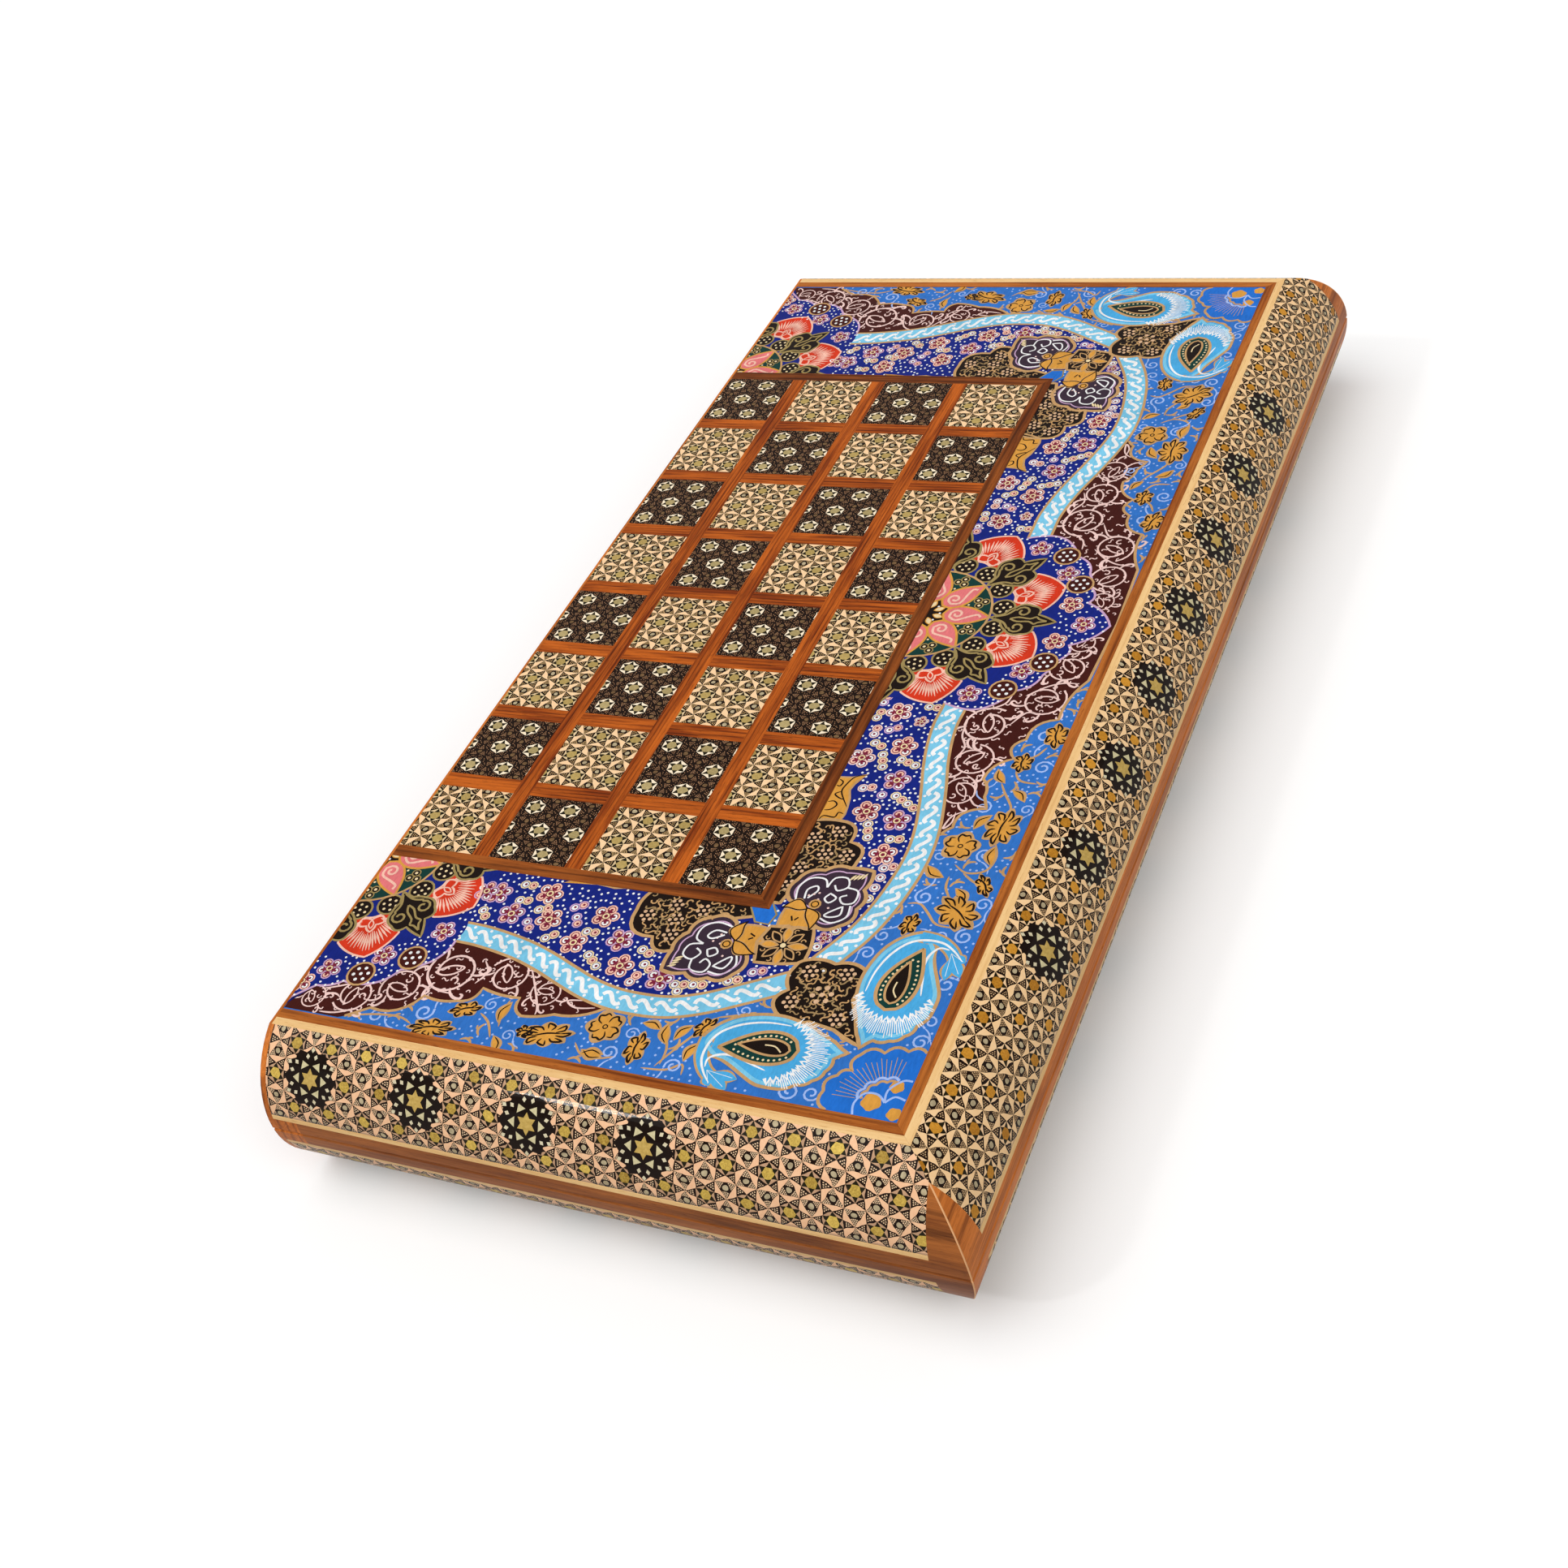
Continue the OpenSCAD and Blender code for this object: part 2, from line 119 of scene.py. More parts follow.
def cell_chance(tree, place, size, shift=(0.0, 0.0, 0.0)):
    """Random numbers that are the same all over a cell: the whole part of place / size + shift
    is the cell."""
    cell = add(tree, "VectorMath", {0: place, 1: size}, operation="DIVIDE")
    cell = add(tree, "VectorMath", {0: cell, 1: shift}, operation="ADD")
    cell = add(tree, "VectorMath", {0: cell}, operation="FLOOR")
    return add(tree, "TexWhiteNoise", {0: cell}, noise_dimensions="3D")


def wood(name, light, dark, vein, along="Y", mitre=None, lath=None, figure=14.0, slant=0.0,
         coat=FACE_COAT, veins=0.55, ridge_highlight=False):
    """Lacquered wood: broad figure, 1 mm grain lines and dark veins, drawn out along the piece.

    The veins fade where the figure is light. Beyond a mitre the piece runs across the board. Laths
    are given by the grid that they lie in, and a pale line is painted along a mitre's ridge as its
    highlight."""
    material, tree, shader = lacquered(name, coat)
    place = object_mm(tree)
    if mitre:
        parts = add(tree, "SeparateXYZ", {0: place})
        is_end = add(tree, "Math", {0: beyond(tree, parts), 1: mitre}, operation="GREATER_THAN")
        place = add(tree, "Mix", {"Factor": is_end, 4: place, 5: crossed(tree, place)}, data_type="VECTOR")
    if along == "X":
        place = crossed(tree, place)
    if lath:
        width, length, across, down = lath
        chance = cell_chance(tree, place, (width, length, 1000.0), (across, down, 0.5))
        shift = add(tree, "VectorMath", {0: chance.outputs["Color"], "Scale": 900.0}, operation="SCALE")
        place = add(tree, "VectorMath", {0: place, 1: shift}, operation="ADD")
    long_figure, long_grain = (1.0, 0.09, 1.0), (1.0, 0.035, 1.0)
    run = add(tree, "Mapping", {"Vector": place, "Rotation": (0.0, 0.0, slant), "Scale": long_figure})
    broad = add(tree, "TexNoise", {"Vector": run, "Scale": 1 / figure, "Detail": 3.0, "Distortion": 1.2})
    fine = add(tree, "Mapping", {"Vector": place, "Scale": long_grain})
    grain = add(tree, "TexNoise", {"Vector": fine, "Scale": 1.1, "Detail": 5.0, "Roughness": 0.65})
    warp = add(tree, "Mix", {"Factor": 0.42, 2: broad, 3: grain})
    tone = add(tree, "MapRange", {"Value": warp, "From Min": 0.40, "From Max": 0.60})
    base = add(tree, "Mix", {"Factor": tone, 6: dark, 7: light}, data_type="RGBA")
    lines = add(tree, "TexWave", {"Vector": run, "Scale": 1.28 / figure, "Distortion": 7.0,
                                  "Detail": 3.0, "Detail Scale": 0.6})
    depth = add(tree, "MapRange", {"Value": warp, "From Min": 0.42, "From Max": 0.60,
                                   "To Min": min(1.0, veins * 1.25), "To Max": veins * 0.25})
    deep = add(tree, "MapRange", {"Value": lines.outputs["Fac"], "From Min": 0.62, "From Max": 0.95,
                                  "To Max": depth})
    colour = add(tree, "Mix", {"Factor": deep, 6: base, 7: vein}, data_type="RGBA")
    pore_run = add(tree, "Mapping", {"Vector": place, "Scale": long_figure})
    pores = add(tree, "TexNoise", {"Vector": pore_run, "Scale": 3.2, "Detail": 2.0})
    pit = add(tree, "MapRange", {"Value": pores, "From Min": 0.60, "From Max": 0.70, "To Max": 0.45})
    colour = add(tree, "Mix", {"Factor": pit, 6: colour, 7: vein}, data_type="RGBA")
    # Painted highlight: a pale line along the opening side's mitre, where its sharp ridge would catch the
    # light.
    if ridge_highlight:
        parts = add(tree, "SeparateXYZ", {0: object_mm(tree)})
        off = add(tree, "Math", {0: beyond(tree, parts), 1: MITRE}, operation="SUBTRACT")
        off = add(tree, "Math", {0: off}, operation="ABSOLUTE")
        behind = add(tree, "Math", {0: 0.0, 1: parts.outputs[0]}, operation="SUBTRACT")
        off = add(tree, "Math", {0: off, 1: behind}, operation="MAXIMUM")
        on_ridge = add(tree, "Math", {0: off, 1: RIDGE_HIGHLIGHT_WIDTH / 2}, operation="LESS_THAN")
        colour = add(tree, "Mix", {"Factor": on_ridge, 6: colour, 7: "#E9B07C"}, data_type="RGBA")
    bump = add(tree, "Bump", {"Height": grain, "Strength": 0.15, "Distance": 0.00008})
    feed(shader, {"Base Color": colour, "Normal": bump})
    return material


def dress(nodes, material):
    """Gives the CAD nodes of both halves a finish."""
    for half in HALVES:
        for node in nodes:
            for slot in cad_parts[f"{half}_{node}"].material_slots:
                slot.material = material


# Two copies of the rail wood: the rails across the board are darker, partly as other wood and partly as
# painted shade of the near side; those along the board are brighter.
dress(["hinge_rail", "front_rail"],
      wood("Lacquered rail wood, along the board", "#E2843A", "#B05E22", "#683212", coat=SIDE_COAT,
           ridge_highlight=True))
dress(["near_rail", "far_rail"],
      wood("Lacquered rail wood, across the board, shaded", "#AE6630", "#763F1E", "#3C1D0C", along="X",
           coat=SIDE_COAT, ridge_highlight=True))

# Face panels and playing boards: a plywood panel closes each tray, and a board of warm brown
# fruitwood lies on it. Points of maple and walnut are let into the board, tips towards the middle.
dress(["face_panel"], wood("Birch plywood", "#D9BC8C", "#BF9A66", "#8A6534", veins=0.2, coat=0.0))
dress(["playing_board"], wood("Lacquered fruitwood board", "#B9692E", "#8E441A", "#4A1D0A"))
dress(["light_points"], wood("Maple points", "#F0D3A0", "#DDB577", "#A87B40", veins=0.25))
dress(["dark_points"], wood("Walnut points", "#5A301A", "#38190C", "#1C0B05"))


# Magnets: discs pressed and sintered from magnet powder, ground flat and plated with nickel. They
# are glued into blind holes under the rim's inlay, and are mirror bright.
def metal(name, roughness, scale, detail, dull, bright):
    """Bare metal, clouded between two tones."""
    material, tree, shader = finish(name, Metallic=1.0, Roughness=roughness)
    cloud = add(tree, "TexNoise", {"Vector": object_mm(tree), "Scale": scale, "Detail": detail})
    feed(shader, {"Base Color": add(tree, "Mix", {"Factor": cloud, 6: dull, 7: bright}, data_type="RGBA")})
    return material


dress(["magnets"], metal("Nickel plate", 0.22, 0.8, 3.0, "#B9B7B0", "#D6D4CC"))

# Khatam: slices of glued rods of ebony, bone, orange wood and brass, laid as veneer. Each brass
# hexagon sits in a dark star and a ring of kites, and dotted triangles fill the corners between
# the stars. The lattice is a little flatter than a true one, as pressed khatam is.
STAR_TIP, DARK_STAR_TIP = 0.266, 0.285    # reach of the dark star's points, over the stars' pitch
KITE_ROOT = 0.152                         # inner corner of a kite, and corner of a brass hexagon
OFF_GRID = (0.37, 0.41, 0.5)              # keeps the stars' middles off the steps that they snap to


def folded_twelfth(tree, local):
    """A point near the middle of a six fold figure, mirrored into its first twelfth."""
    folded = add(tree, "VectorMath", {0: local}, operation="ABSOLUTE")
    for angle in (math.radians(60), math.radians(30)):
        normal = (-math.sin(angle), math.cos(angle), 0.0)
        over = add(tree, "VectorMath", {0: folded, 1: normal}, operation="DOT_PRODUCT")
        over = add(tree, "Math", {0: over, 1: 0.0}, operation="MAXIMUM")
        over = add(tree, "Math", {0: over, 1: -2.0}, operation="MULTIPLY")
        step = add(tree, "VectorMath", {0: normal, "Scale": over}, operation="SCALE")
        folded = add(tree, "VectorMath", {0: folded, 1: step}, operation="ADD")
    return folded


def line_side(tree, point, start, end, size=1.0):
    """1 where the point lies left of the line from start to end, given in units of the size."""
    run = np.subtract(end, start)
    normal = np.array([-run[1], run[0]]) / np.hypot(*run)
    along = add(tree, "VectorMath", {0: point, 1: (normal[0], normal[1], 0.0)}, operation="DOT_PRODUCT")
    return add(tree, "Math", {0: along, 1: float(normal @ start) * size}, operation="GREATER_THAN")


def any_near(tree, point, places, radius, size=1.0):
    """1 within the radius of any of the places."""
    spot = None
    for x, y in places:
        away = add(tree, "VectorMath", {0: point, 1: (x * size, y * size, 0.0)}, operation="DISTANCE")
        close = add(tree, "Math", {0: away, 1: radius}, operation="LESS_THAN")
        spot = add(tree, "Math", {0: spot, 1: close}, operation="MAXIMUM") if spot else close
    return spot


def khatam(name, coordinates, pitch, row, cream, gold, kites, dots, dark_ground=False, coat=SIDE_COAT,
           dot=0.22):
    """Khatam on coordinates in mm: stars every pitch along x, in rows that stand row apart.

    The plane is wrapped to the nearest star, then folded at its mirror lines into one twelfth of
    it. There every piece is a region between straight lines, and every dot is a distance."""
    material, tree, shader = lacquered(name, coat)
    flat = coordinates(tree)
    drift = add(tree, "TexNoise", {"Vector": flat, "Scale": 0.3, "Detail": 1.0}).outputs["Color"]
    drift = add(tree, "VectorMath", {0: drift, 1: (0.5, 0.5, 0.5)}, operation="SUBTRACT")
    flat = add(tree, "VectorMath", {0: drift, 1: (1.3, 1.3, 0.0), 2: flat}, operation="MULTIPLY_ADD")
    stretch = math.sqrt(0.75) * pitch / row
    spread = add(tree, "VectorMath", {0: flat, 1: (1.0, stretch, 0.0)}, operation="MULTIPLY")
    half = (pitch / 2, math.sqrt(3) * pitch / 2, 0.5)
    back = tuple(-v for v in half)
    first = add(tree, "VectorMath", {0: spread, 1: half, 2: back}, operation="WRAP")
    moved = add(tree, "VectorMath", {0: spread, 1: (half[0], half[1], 0.0)}, operation="ADD")
    second = add(tree, "VectorMath", {0: moved, 1: half, 2: back}, operation="WRAP")
    lengths = [add(tree, "VectorMath", {0: v}, operation="LENGTH") for v in (first, second)]
    nearer = add(tree, "Math", {0: lengths[0], 1: lengths[1]}, operation="LESS_THAN")
    local = add(tree, "Mix", {"Factor": nearer, 4: second, 5: first}, data_type="VECTOR")
    centre = add(tree, "VectorMath", {0: spread, 1: local}, operation="SUBTRACT")
    centre = add(tree, "VectorMath", {0: centre, 1: OFF_GRID}, operation="ADD")
    centre = add(tree, "VectorMath", {0: centre, 1: (1.0, 1.0, 1.0)}, operation="SNAP")
    folded = folded_twelfth(tree, local)

    reach = DARK_STAR_TIP if dark_ground else STAR_TIP
    tip = (reach * math.cos(math.radians(30)), reach * math.sin(math.radians(30)))
    meet = (0.5, 0.0)
    brass = line_side(tree, folded, (KITE_ROOT, 0.0), (KITE_ROOT - 0.5, 0.866), pitch)
    kite = line_side(tree, folded, tip, (KITE_ROOT, 0.0), pitch)
    outside = line_side(tree, folded, (tip[0], 1.0), (tip[0], 0.0), pitch)
    above = line_side(tree, folded, tip, meet, pitch)
    big = line_side(tree, folded, (0.25, math.sqrt(3) / 4), meet, pitch)
    spots = any_near(tree, folded, [(0.396, 0.0), (0.346, 0.026), (0.296, 0.0), (0.296, 0.052),
                                    (0.5, 0.045), (0.479, 0.087), (0.5, 0.129), (0.457, 0.129),
                                    (0.436, 0.171), (0.479, 0.171)], dot, pitch)
    eye = any_near(tree, folded, [(0.5, 0.5 / math.sqrt(3))], 0.95, pitch)

    chance = add(tree, "TexWhiteNoise", {0: centre}, noise_dimensions="3D")
    speckle = add(tree, "TexNoise", {"Vector": flat, "Scale": 0.45, "Detail": 2.0})
    fibre_run = add(tree, "Mapping", {"Vector": flat, "Scale": (1.0, 0.25, 1.0)})
    fibre = add(tree, "TexNoise", {"Vector": fibre_run, "Scale": 3.0, "Detail": 4.0})
    # The brass's colour changes across Voronoi cells: partly its small pieces of wire, partly painted
    # glints, since this brass has no metal finish of its own.
    glint = add(tree, "TexVoronoi", {"Vector": flat, "Scale": 1.9})
    mottle = add(tree, "Mix", {"Factor": 0.5, 2: speckle, 3: fibre})
    eyes = ("#3A2618", "#94744E") if dark_ground else ("#7E6C50", "#DCCCA6")
    ebony, wedge, glinting_brass, plate, pale, bone, white, beige = [
        add(tree, "Mix", {"Factor": by, 6: low, 7: high}, data_type="RGBA")
        for by, (low, high) in ((fibre, ("#0E0501", "#24130A")), (speckle, ("#0E0A04", "#2A2410")),
                                (glint, gold), (chance, gold), (mottle, cream), (speckle, kites),
                                (speckle, dots), (speckle, eyes))]

    glinting_brass = add(tree, "Mix", {"Factor": 0.5, 6: glinting_brass, 7: plate}, data_type="RGBA")
    dotted = add(tree, "Mix", {"Factor": spots, 6: ebony, 7: white}, data_type="RGBA")
    star = add(tree, "Mix", {"Factor": brass, 6: wedge, 7: glinting_brass}, data_type="RGBA")
    star = add(tree, "Mix", {"Factor": kite, 6: star, 7: bone}, data_type="RGBA")
    if dark_ground:
        rings = any_near(tree, folded, [(0.36, 0.13), (0.30, 0.173), (0.40, 0.085), (0.33, 0.215)],
                         dot, pitch)
        pale = add(tree, "Mix", {"Factor": rings, 6: ebony, 7: white}, data_type="RGBA")
    rest = add(tree, "Mix", {"Factor": above, 6: dotted, 7: pale}, data_type="RGBA")
    eyed = add(tree, "Mix", {"Factor": eye, 6: dotted, 7: beige}, data_type="RGBA")
    rest = add(tree, "Mix", {"Factor": big, 6: rest, 7: eyed}, data_type="RGBA")
    feed(shader, {"Base Color": add(tree, "Mix", {"Factor": outside, 6: star, 7: rest}, data_type="RGBA")})
    return material


MEDALLION_PITCH = 41.8
BAND_PITCH, BAND_ROW = MEDALLION_PITCH / 3, 11.0
BAND_RADIUS = 34.025                                                 # outside of the veneer
BAND_MIDDLE = BAND_RADIUS * math.asin(SEAM / BAND_RADIUS) - 15.6     # middle row, from level with the seam
END_SHIFT = 104.6                                                    # puts a star on each end's medallions


def round_the_arc(tree, out, height, along, phase):
    """x is the way along, and y the arc's angle times its radius, less the middle row's."""
    up = add(tree, "Math", {0: height, 1: SEAM}, operation="SUBTRACT")
    up = add(tree, "Math", {0: up}, operation="ABSOLUTE")
    angle = add(tree, "Math", {0: up, 1: out}, operation="ARCTAN2")
    arc = add(tree, "Math", {0: angle, 1: -BAND_RADIUS}, operation="MULTIPLY")
    arc = add(tree, "Math", {0: arc, 1: BAND_MIDDLE}, operation="ADD")
    along = add(tree, "Math", {0: along, 1: phase}, operation="ADD")
    return add(tree, "CombineXYZ", {"X": along, "Y": arc})


def front_mm(tree):
    """Along the board and round the arc, from the middle row of stars."""
    x, y, z = add(tree, "SeparateXYZ", {0: object_mm(tree)}).outputs
    out = add(tree, "Math", {0: x, 1: FRONT - BAND_RADIUS}, operation="SUBTRACT")
    return round_the_arc(tree, out, z, y, BAND_PITCH / 2)


def end_mm(tree):
    """Across the board and round the arc, from the middle row of stars."""
    x, y, z = add(tree, "SeparateXYZ", {0: object_mm(tree)}).outputs
    out = add(tree, "Math", {0: y}, operation="ABSOLUTE")
    out = add(tree, "Math", {0: out, 1: END - BAND_RADIUS}, operation="SUBTRACT")
    return round_the_arc(tree, out, z, x, END_SHIFT)


front_colours = (("#F2BE80", "#FFDFB2"), ("#9A6216", "#E09E38"), ("#E6B47A", "#FFDFB6"),
                 ("#A8825A", "#DAB688"))
end_colours = (("#E6A67C", "#FFD8AE"), ("#84601C", "#EECC64"), ("#A07C60", "#DCB08A"),
               ("#DCB088", "#F8DCB4"))
veneer_front = khatam("Khatam veneer, opening side", front_mm, BAND_PITCH, BAND_ROW, *front_colours)
veneer_ends = khatam("Khatam veneer, ends", end_mm, BAND_PITCH, BAND_ROW, *end_colours)
dress(["khatam_front"], veneer_front)
dress(["khatam_near", "khatam_far"], veneer_ends)

# Medallions: twelve pointed stars sliced from thicker khatam rods and let into the veneer at
# every third star. A gold star lies in ebony, ringed by silvery triangles and small rhombi.
LAST_OF_FRONT = 190.0       # y between the opening side's last medallion and those of the ends
RHOMB = (0.95, 0.75)        # half its diagonals, outwards and across

medallion_finish, tree, shader = lacquered("Khatam medallions", SIDE_COAT)
far = add(tree, "SeparateXYZ", {0: object_mm(tree)}).outputs["Y"]
far = add(tree, "Math", {0: far}, operation="ABSOLUTE")
is_end = add(tree, "Math", {0: far, 1: LAST_OF_FRONT}, operation="GREATER_THAN")
half_pitch = MEDALLION_PITCH / 2
on_front = add(tree, "VectorMath", {0: front_mm(tree), 1: (half_pitch - BAND_PITCH / 2, 0.0, 0.0)},
               operation="ADD")
flat = add(tree, "Mix", {"Factor": is_end, 4: on_front, 5: end_mm(tree)}, data_type="VECTOR")
local = add(tree, "VectorMath", {0: flat, 1: (half_pitch, 500.0, 1.0), 2: (-half_pitch, -500.0, -1.0)},
            operation="WRAP")
folded = folded_twelfth(tree, local)
slices = add(tree, "TexNoise", {"Vector": flat, "Scale": 0.9, "Detail": 3.0})
gold_star = line_side(tree, folded, (2.1, 0.0), (3.2, 1.85))
inner = line_side(tree, folded, (4.4, 1.0), (4.4, 0.0))
outer = line_side(tree, folded, (6.75, 0.0), (4.4, 1.7))
triangle = add(tree, "Math", {0: inner, 1: outer}, operation="MINIMUM")
rhombi = []
for x, y in ((7.23, 2.35), (8.4, 4.85)):
    away = add(tree, "VectorMath", {0: folded, 1: (x, y, 0.0)}, operation="SUBTRACT")
    share = add(tree, "VectorRotate", {"Vector": away, "Angle": -math.atan2(y, x)}, rotation_type="Z_AXIS")
    share = add(tree, "VectorMath", {0: share, 1: (1 / RHOMB[0], 1 / RHOMB[1], 0.0)}, operation="MULTIPLY")
    share = add(tree, "VectorMath", {0: share}, operation="ABSOLUTE")
    total = add(tree, "VectorMath", {0: share, 1: (1.0, 1.0, 0.0)}, operation="DOT_PRODUCT")
    rhombi.append(add(tree, "Math", {0: total, 1: 1.0}, operation="LESS_THAN"))
colour = add(tree, "Mix", {"Factor": slices, 6: "#0B0503", 7: "#20120A"}, data_type="RGBA")
for test, low, high in ((gold_star, "#9C7A30", "#E0C070"), (triangle, "#B0A478", "#EADFB4"),
                        (rhombi[0], "#B8AA84", "#EFE6C8"), (rhombi[1], "#B8AA84", "#EFE6C8")):
    piece = add(tree, "Mix", {"Factor": slices, 6: low, 7: high}, data_type="RGBA")
    colour = add(tree, "Mix", {"Factor": test, 6: colour, 7: piece}, data_type="RGBA")
feed(shader, {"Base Color": colour})
dress(["medallions"], medallion_finish)

# Squares: blocks of khatam sliced 1 mm thick, light ones with orange wood kites and dark ones
# with ebony in their place. Each is cut from its own part of the sheet.
PITCH, SQUARE = 37.8, 31.0                   # from square to square, and across a square
HINGE_EDGE, FIELD_EDGE = 123.8, 147.8        # outer edges of the squares, from the board's middle
SQUARE_PITCH, SQUARE_ROW = 14.4, 10.75       # of the stars in them


def squares_mm(tree, middle_shift):
    """Millimetres from each square's middle, moved by half a star in some of the squares."""
    origin = (HINGE_EDGE - SQUARE / 2 + PITCH / 2, FIELD_EDGE - SQUARE / 2 + PITCH / 2, 0.0)
    place = add(tree, "VectorMath", {0: object_mm(tree), 1: origin}, operation="ADD")
    chance = cell_chance(tree, place, (PITCH, PITCH, 1000.0)).outputs["Color"]
    jog = add(tree, "VectorMath", {0: chance, 1: (0.5, 0.5, 0.0)}, operation="SUBTRACT")
    jog = add(tree, "VectorMath", {0: jog, 1: (1.2, 0.8, 0.0)}, operation="MULTIPLY")
    local = add(tree, "VectorMath", {0: place, 1: (PITCH, PITCH, 1.0), 2: (0.0, 0.0, 0.0)},
                operation="WRAP")
    local = add(tree, "VectorMath", {0: local, 1: (middle_shift - PITCH / 2, -PITCH / 2, 0.0)},
                operation="ADD")
    return add(tree, "VectorMath", {0: local, 1: jog}, operation="ADD")


cream = ("#F4C08C", "#FFE2B6")
dress(["light_squares"],
      khatam("Khatam squares, light", lambda tree: squares_mm(tree, -5.0), SQUARE_PITCH, SQUARE_ROW, cream,
             ("#8A723E", "#C8AC68"), ("#CDAE7C", "#F4DCB0"), ("#B88E58", "#E0BE88"), coat=FACE_COAT))
dress(["dark_squares"],
      khatam("Khatam squares, dark", lambda tree: squares_mm(tree, 2.7), SQUARE_PITCH, SQUARE_ROW, cream,
             ("#847446", "#C6B07C"), ("#FCE2BC", "#FFF4DC"), ("#4A2614", "#DCA87C"), dark_ground=True,
             coat=FACE_COAT, dot=0.2))

# Strips and lines: pale maple between the khatam and the brown rim, a maple line along the flat
# face's edge and a line of brown wood inside it, all mitred at the opening side.
pale = ("#F4CC90", "#E8B97A", "#C08A4C")
maple_strip = wood("Maple strips", *pale, mitre=MITRE, veins=0.12, coat=SIDE_COAT)
dress(["pale_line"], wood("Maple line", *pale, mitre=MITRE, veins=0.12))
dress(["brown_line"], wood("Brown wood line", "#C0702E", "#904818", "#5E2A0E", mitre=MITRE))

# Foot of the veneer: on the real board the khatam comes down to a strip only 1.8 mm high. The CAD
# strip is split there, and its upper part is the foot, cut from the same sheets as the veneer.
STRIP_TOP = 7.3      # height of the strip's top from the parting plane


def cut_strip(half, name, above, sides):
    """The CAD strip's solids on some sides, cut level at the strip's top and closed there."""
    shell = bmesh.new()
    shell.from_mesh(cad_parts[f"{half}_pale_strips"].data)
    bmesh.ops.remove_doubles(shell, verts=shell.verts, dist=1e-6)
    level = (SEAM + (STRIP_TOP if half == "upper" else -STRIP_TOP)) * MM
    upwards = 1.0 if (half == "upper") == above else -1.0
    bmesh.ops.bisect_plane(shell, geom=shell.verts[:] + shell.edges[:] + shell.faces[:],
                           plane_co=(0, 0, level), plane_no=(0, 0, upwards), clear_inner=True)
    bmesh.ops.holes_fill(shell, edges=[edge for edge in shell.edges if edge.is_boundary])
    drop = []
    for face in shell.faces:
        middle = face.calc_center_median() / MM
        side = "end" if abs(middle.y) - middle.x > MITRE else "front"
        if side not in sides:
            drop.append(face)
    bmesh.ops.delete(shell, geom=drop, context="FACES")
    bmesh.ops.recalc_face_normals(shell, faces=shell.faces)
    cut = bpy.data.meshes.new(f"{half}_{name}")
    shell.to_mesh(cut)
    shell.free()
    piece = bpy.data.objects.new(f"{half}_{name}", cut)
    bpy.context.scene.collection.objects.link(piece)
    return piece


for half, body in HALVES.items():
    for name, above, sides, finish_of, slot_name in (
            ("veneer_foot_front", True, ("front",), veneer_front, "khatam"),
            ("veneer_foot_ends", True, ("end",), veneer_ends, "khatam"),
            ("low_strips", False, ("front", "end"), maple_strip, "pale_wood")):
        piece = cut_strip(half, name, above, sides)
        piece.data.materials.append(finish_of)
        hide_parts(f"{half}_pale_strips")
        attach(piece, body)

# Painted border: a U-shaped board of hardwood, painted by brush in the traditional manner with
# rosettes, palmettes, almonds and blossoms, then lacquered. Each brush stroke is a thin film
# of paint over the ones before it. The near half is the mirror image of the far half.
FILM = 0.012                                       # depth of one level of paint
WORK_X, FRAME_X, BORDER_X = -HINGE_EDGE, 26.0, 98.2
FRAME_Y, BORDER_Y = 153.2, 225.2

PAINT = {
    "sky": "#3273C6", "pale sky": "#A3BCF0", "navy": "#12237E", "cyan": "#7CC8E8", "boteh": "#4BABE2",
    "maroon": "#43150F", "rose": "#F4D0C8", "tan": "#C89C68", "ochre": "#DC9C42", "black": "#1A0E08",
    "white": "#F4F3F2", "cream": "#F0D8A8", "plum": "#7C2038", "lilac": "#CDA6C8", "pink": "#E6787A",
    "blush": "#F7C3AE", "red": "#D8381C", "bottle": "#0E3A34", "slate": "#3A2A38", "olive": "#A08A56",
    "lotus": "#2270D0", "bead": "#DDB48E", "curl": "#A3855A",
}


def way(degrees):
    """The unit vector at an angle, or at each of many."""
    angle = np.radians(degrees)
    return np.stack([np.cos(angle), np.sin(angle)], -1)


def curve(points, steps=6):
    """A path through the points: from each to the next runs the cubic whose slope at a point is
    half the way from the point before to the point after."""
    points = np.asarray(points, float)
    before, after = np.vstack([points[:1], points[:-1]]), np.vstack([points[1:], points[-1:]])
    slopes = (after - before) / 2
    t = np.linspace(0, 1, steps, endpoint=False)[None, :, None]
    path = ((2 * t**3 - 3 * t**2 + 1) * points[:-1, None] + (t**3 - 2 * t**2 + t) * slopes[:-1, None]
            + (3 * t**2 - 2 * t**3) * points[1:, None] + (t**3 - t**2) * slopes[1:, None])
    return np.vstack([path.reshape(-1, 2), points[-1:]])


def scalloped(corners, bow, steps=6, closed=True):
    """Sides from corner to corner, each pushed outwards by a parabola as high as bow sides."""
    corners = np.asarray(corners, float)
    starts = corners if closed else corners[:-1]
    ends = np.roll(corners, -1, 0)[:len(starts)]
    side = ends - starts
    turning = np.sum(starts[:, 0] * ends[:, 1] - starts[:, 1] * ends[:, 0]) if closed else 1.0
    out = np.stack([side[:, 1], -side[:, 0]], -1) * np.sign(turning)
    t = np.linspace(0, 1, steps, endpoint=False)[None, :, None]
    bow = np.broadcast_to(np.asarray(bow, float), len(starts))[:, None, None]
    path = starts[:, None] + t * side[:, None] + 4 * t * (1 - t) * bow * out[:, None]
    return np.vstack([path.reshape(-1, 2), corners[:1] if closed else corners[-1:]])


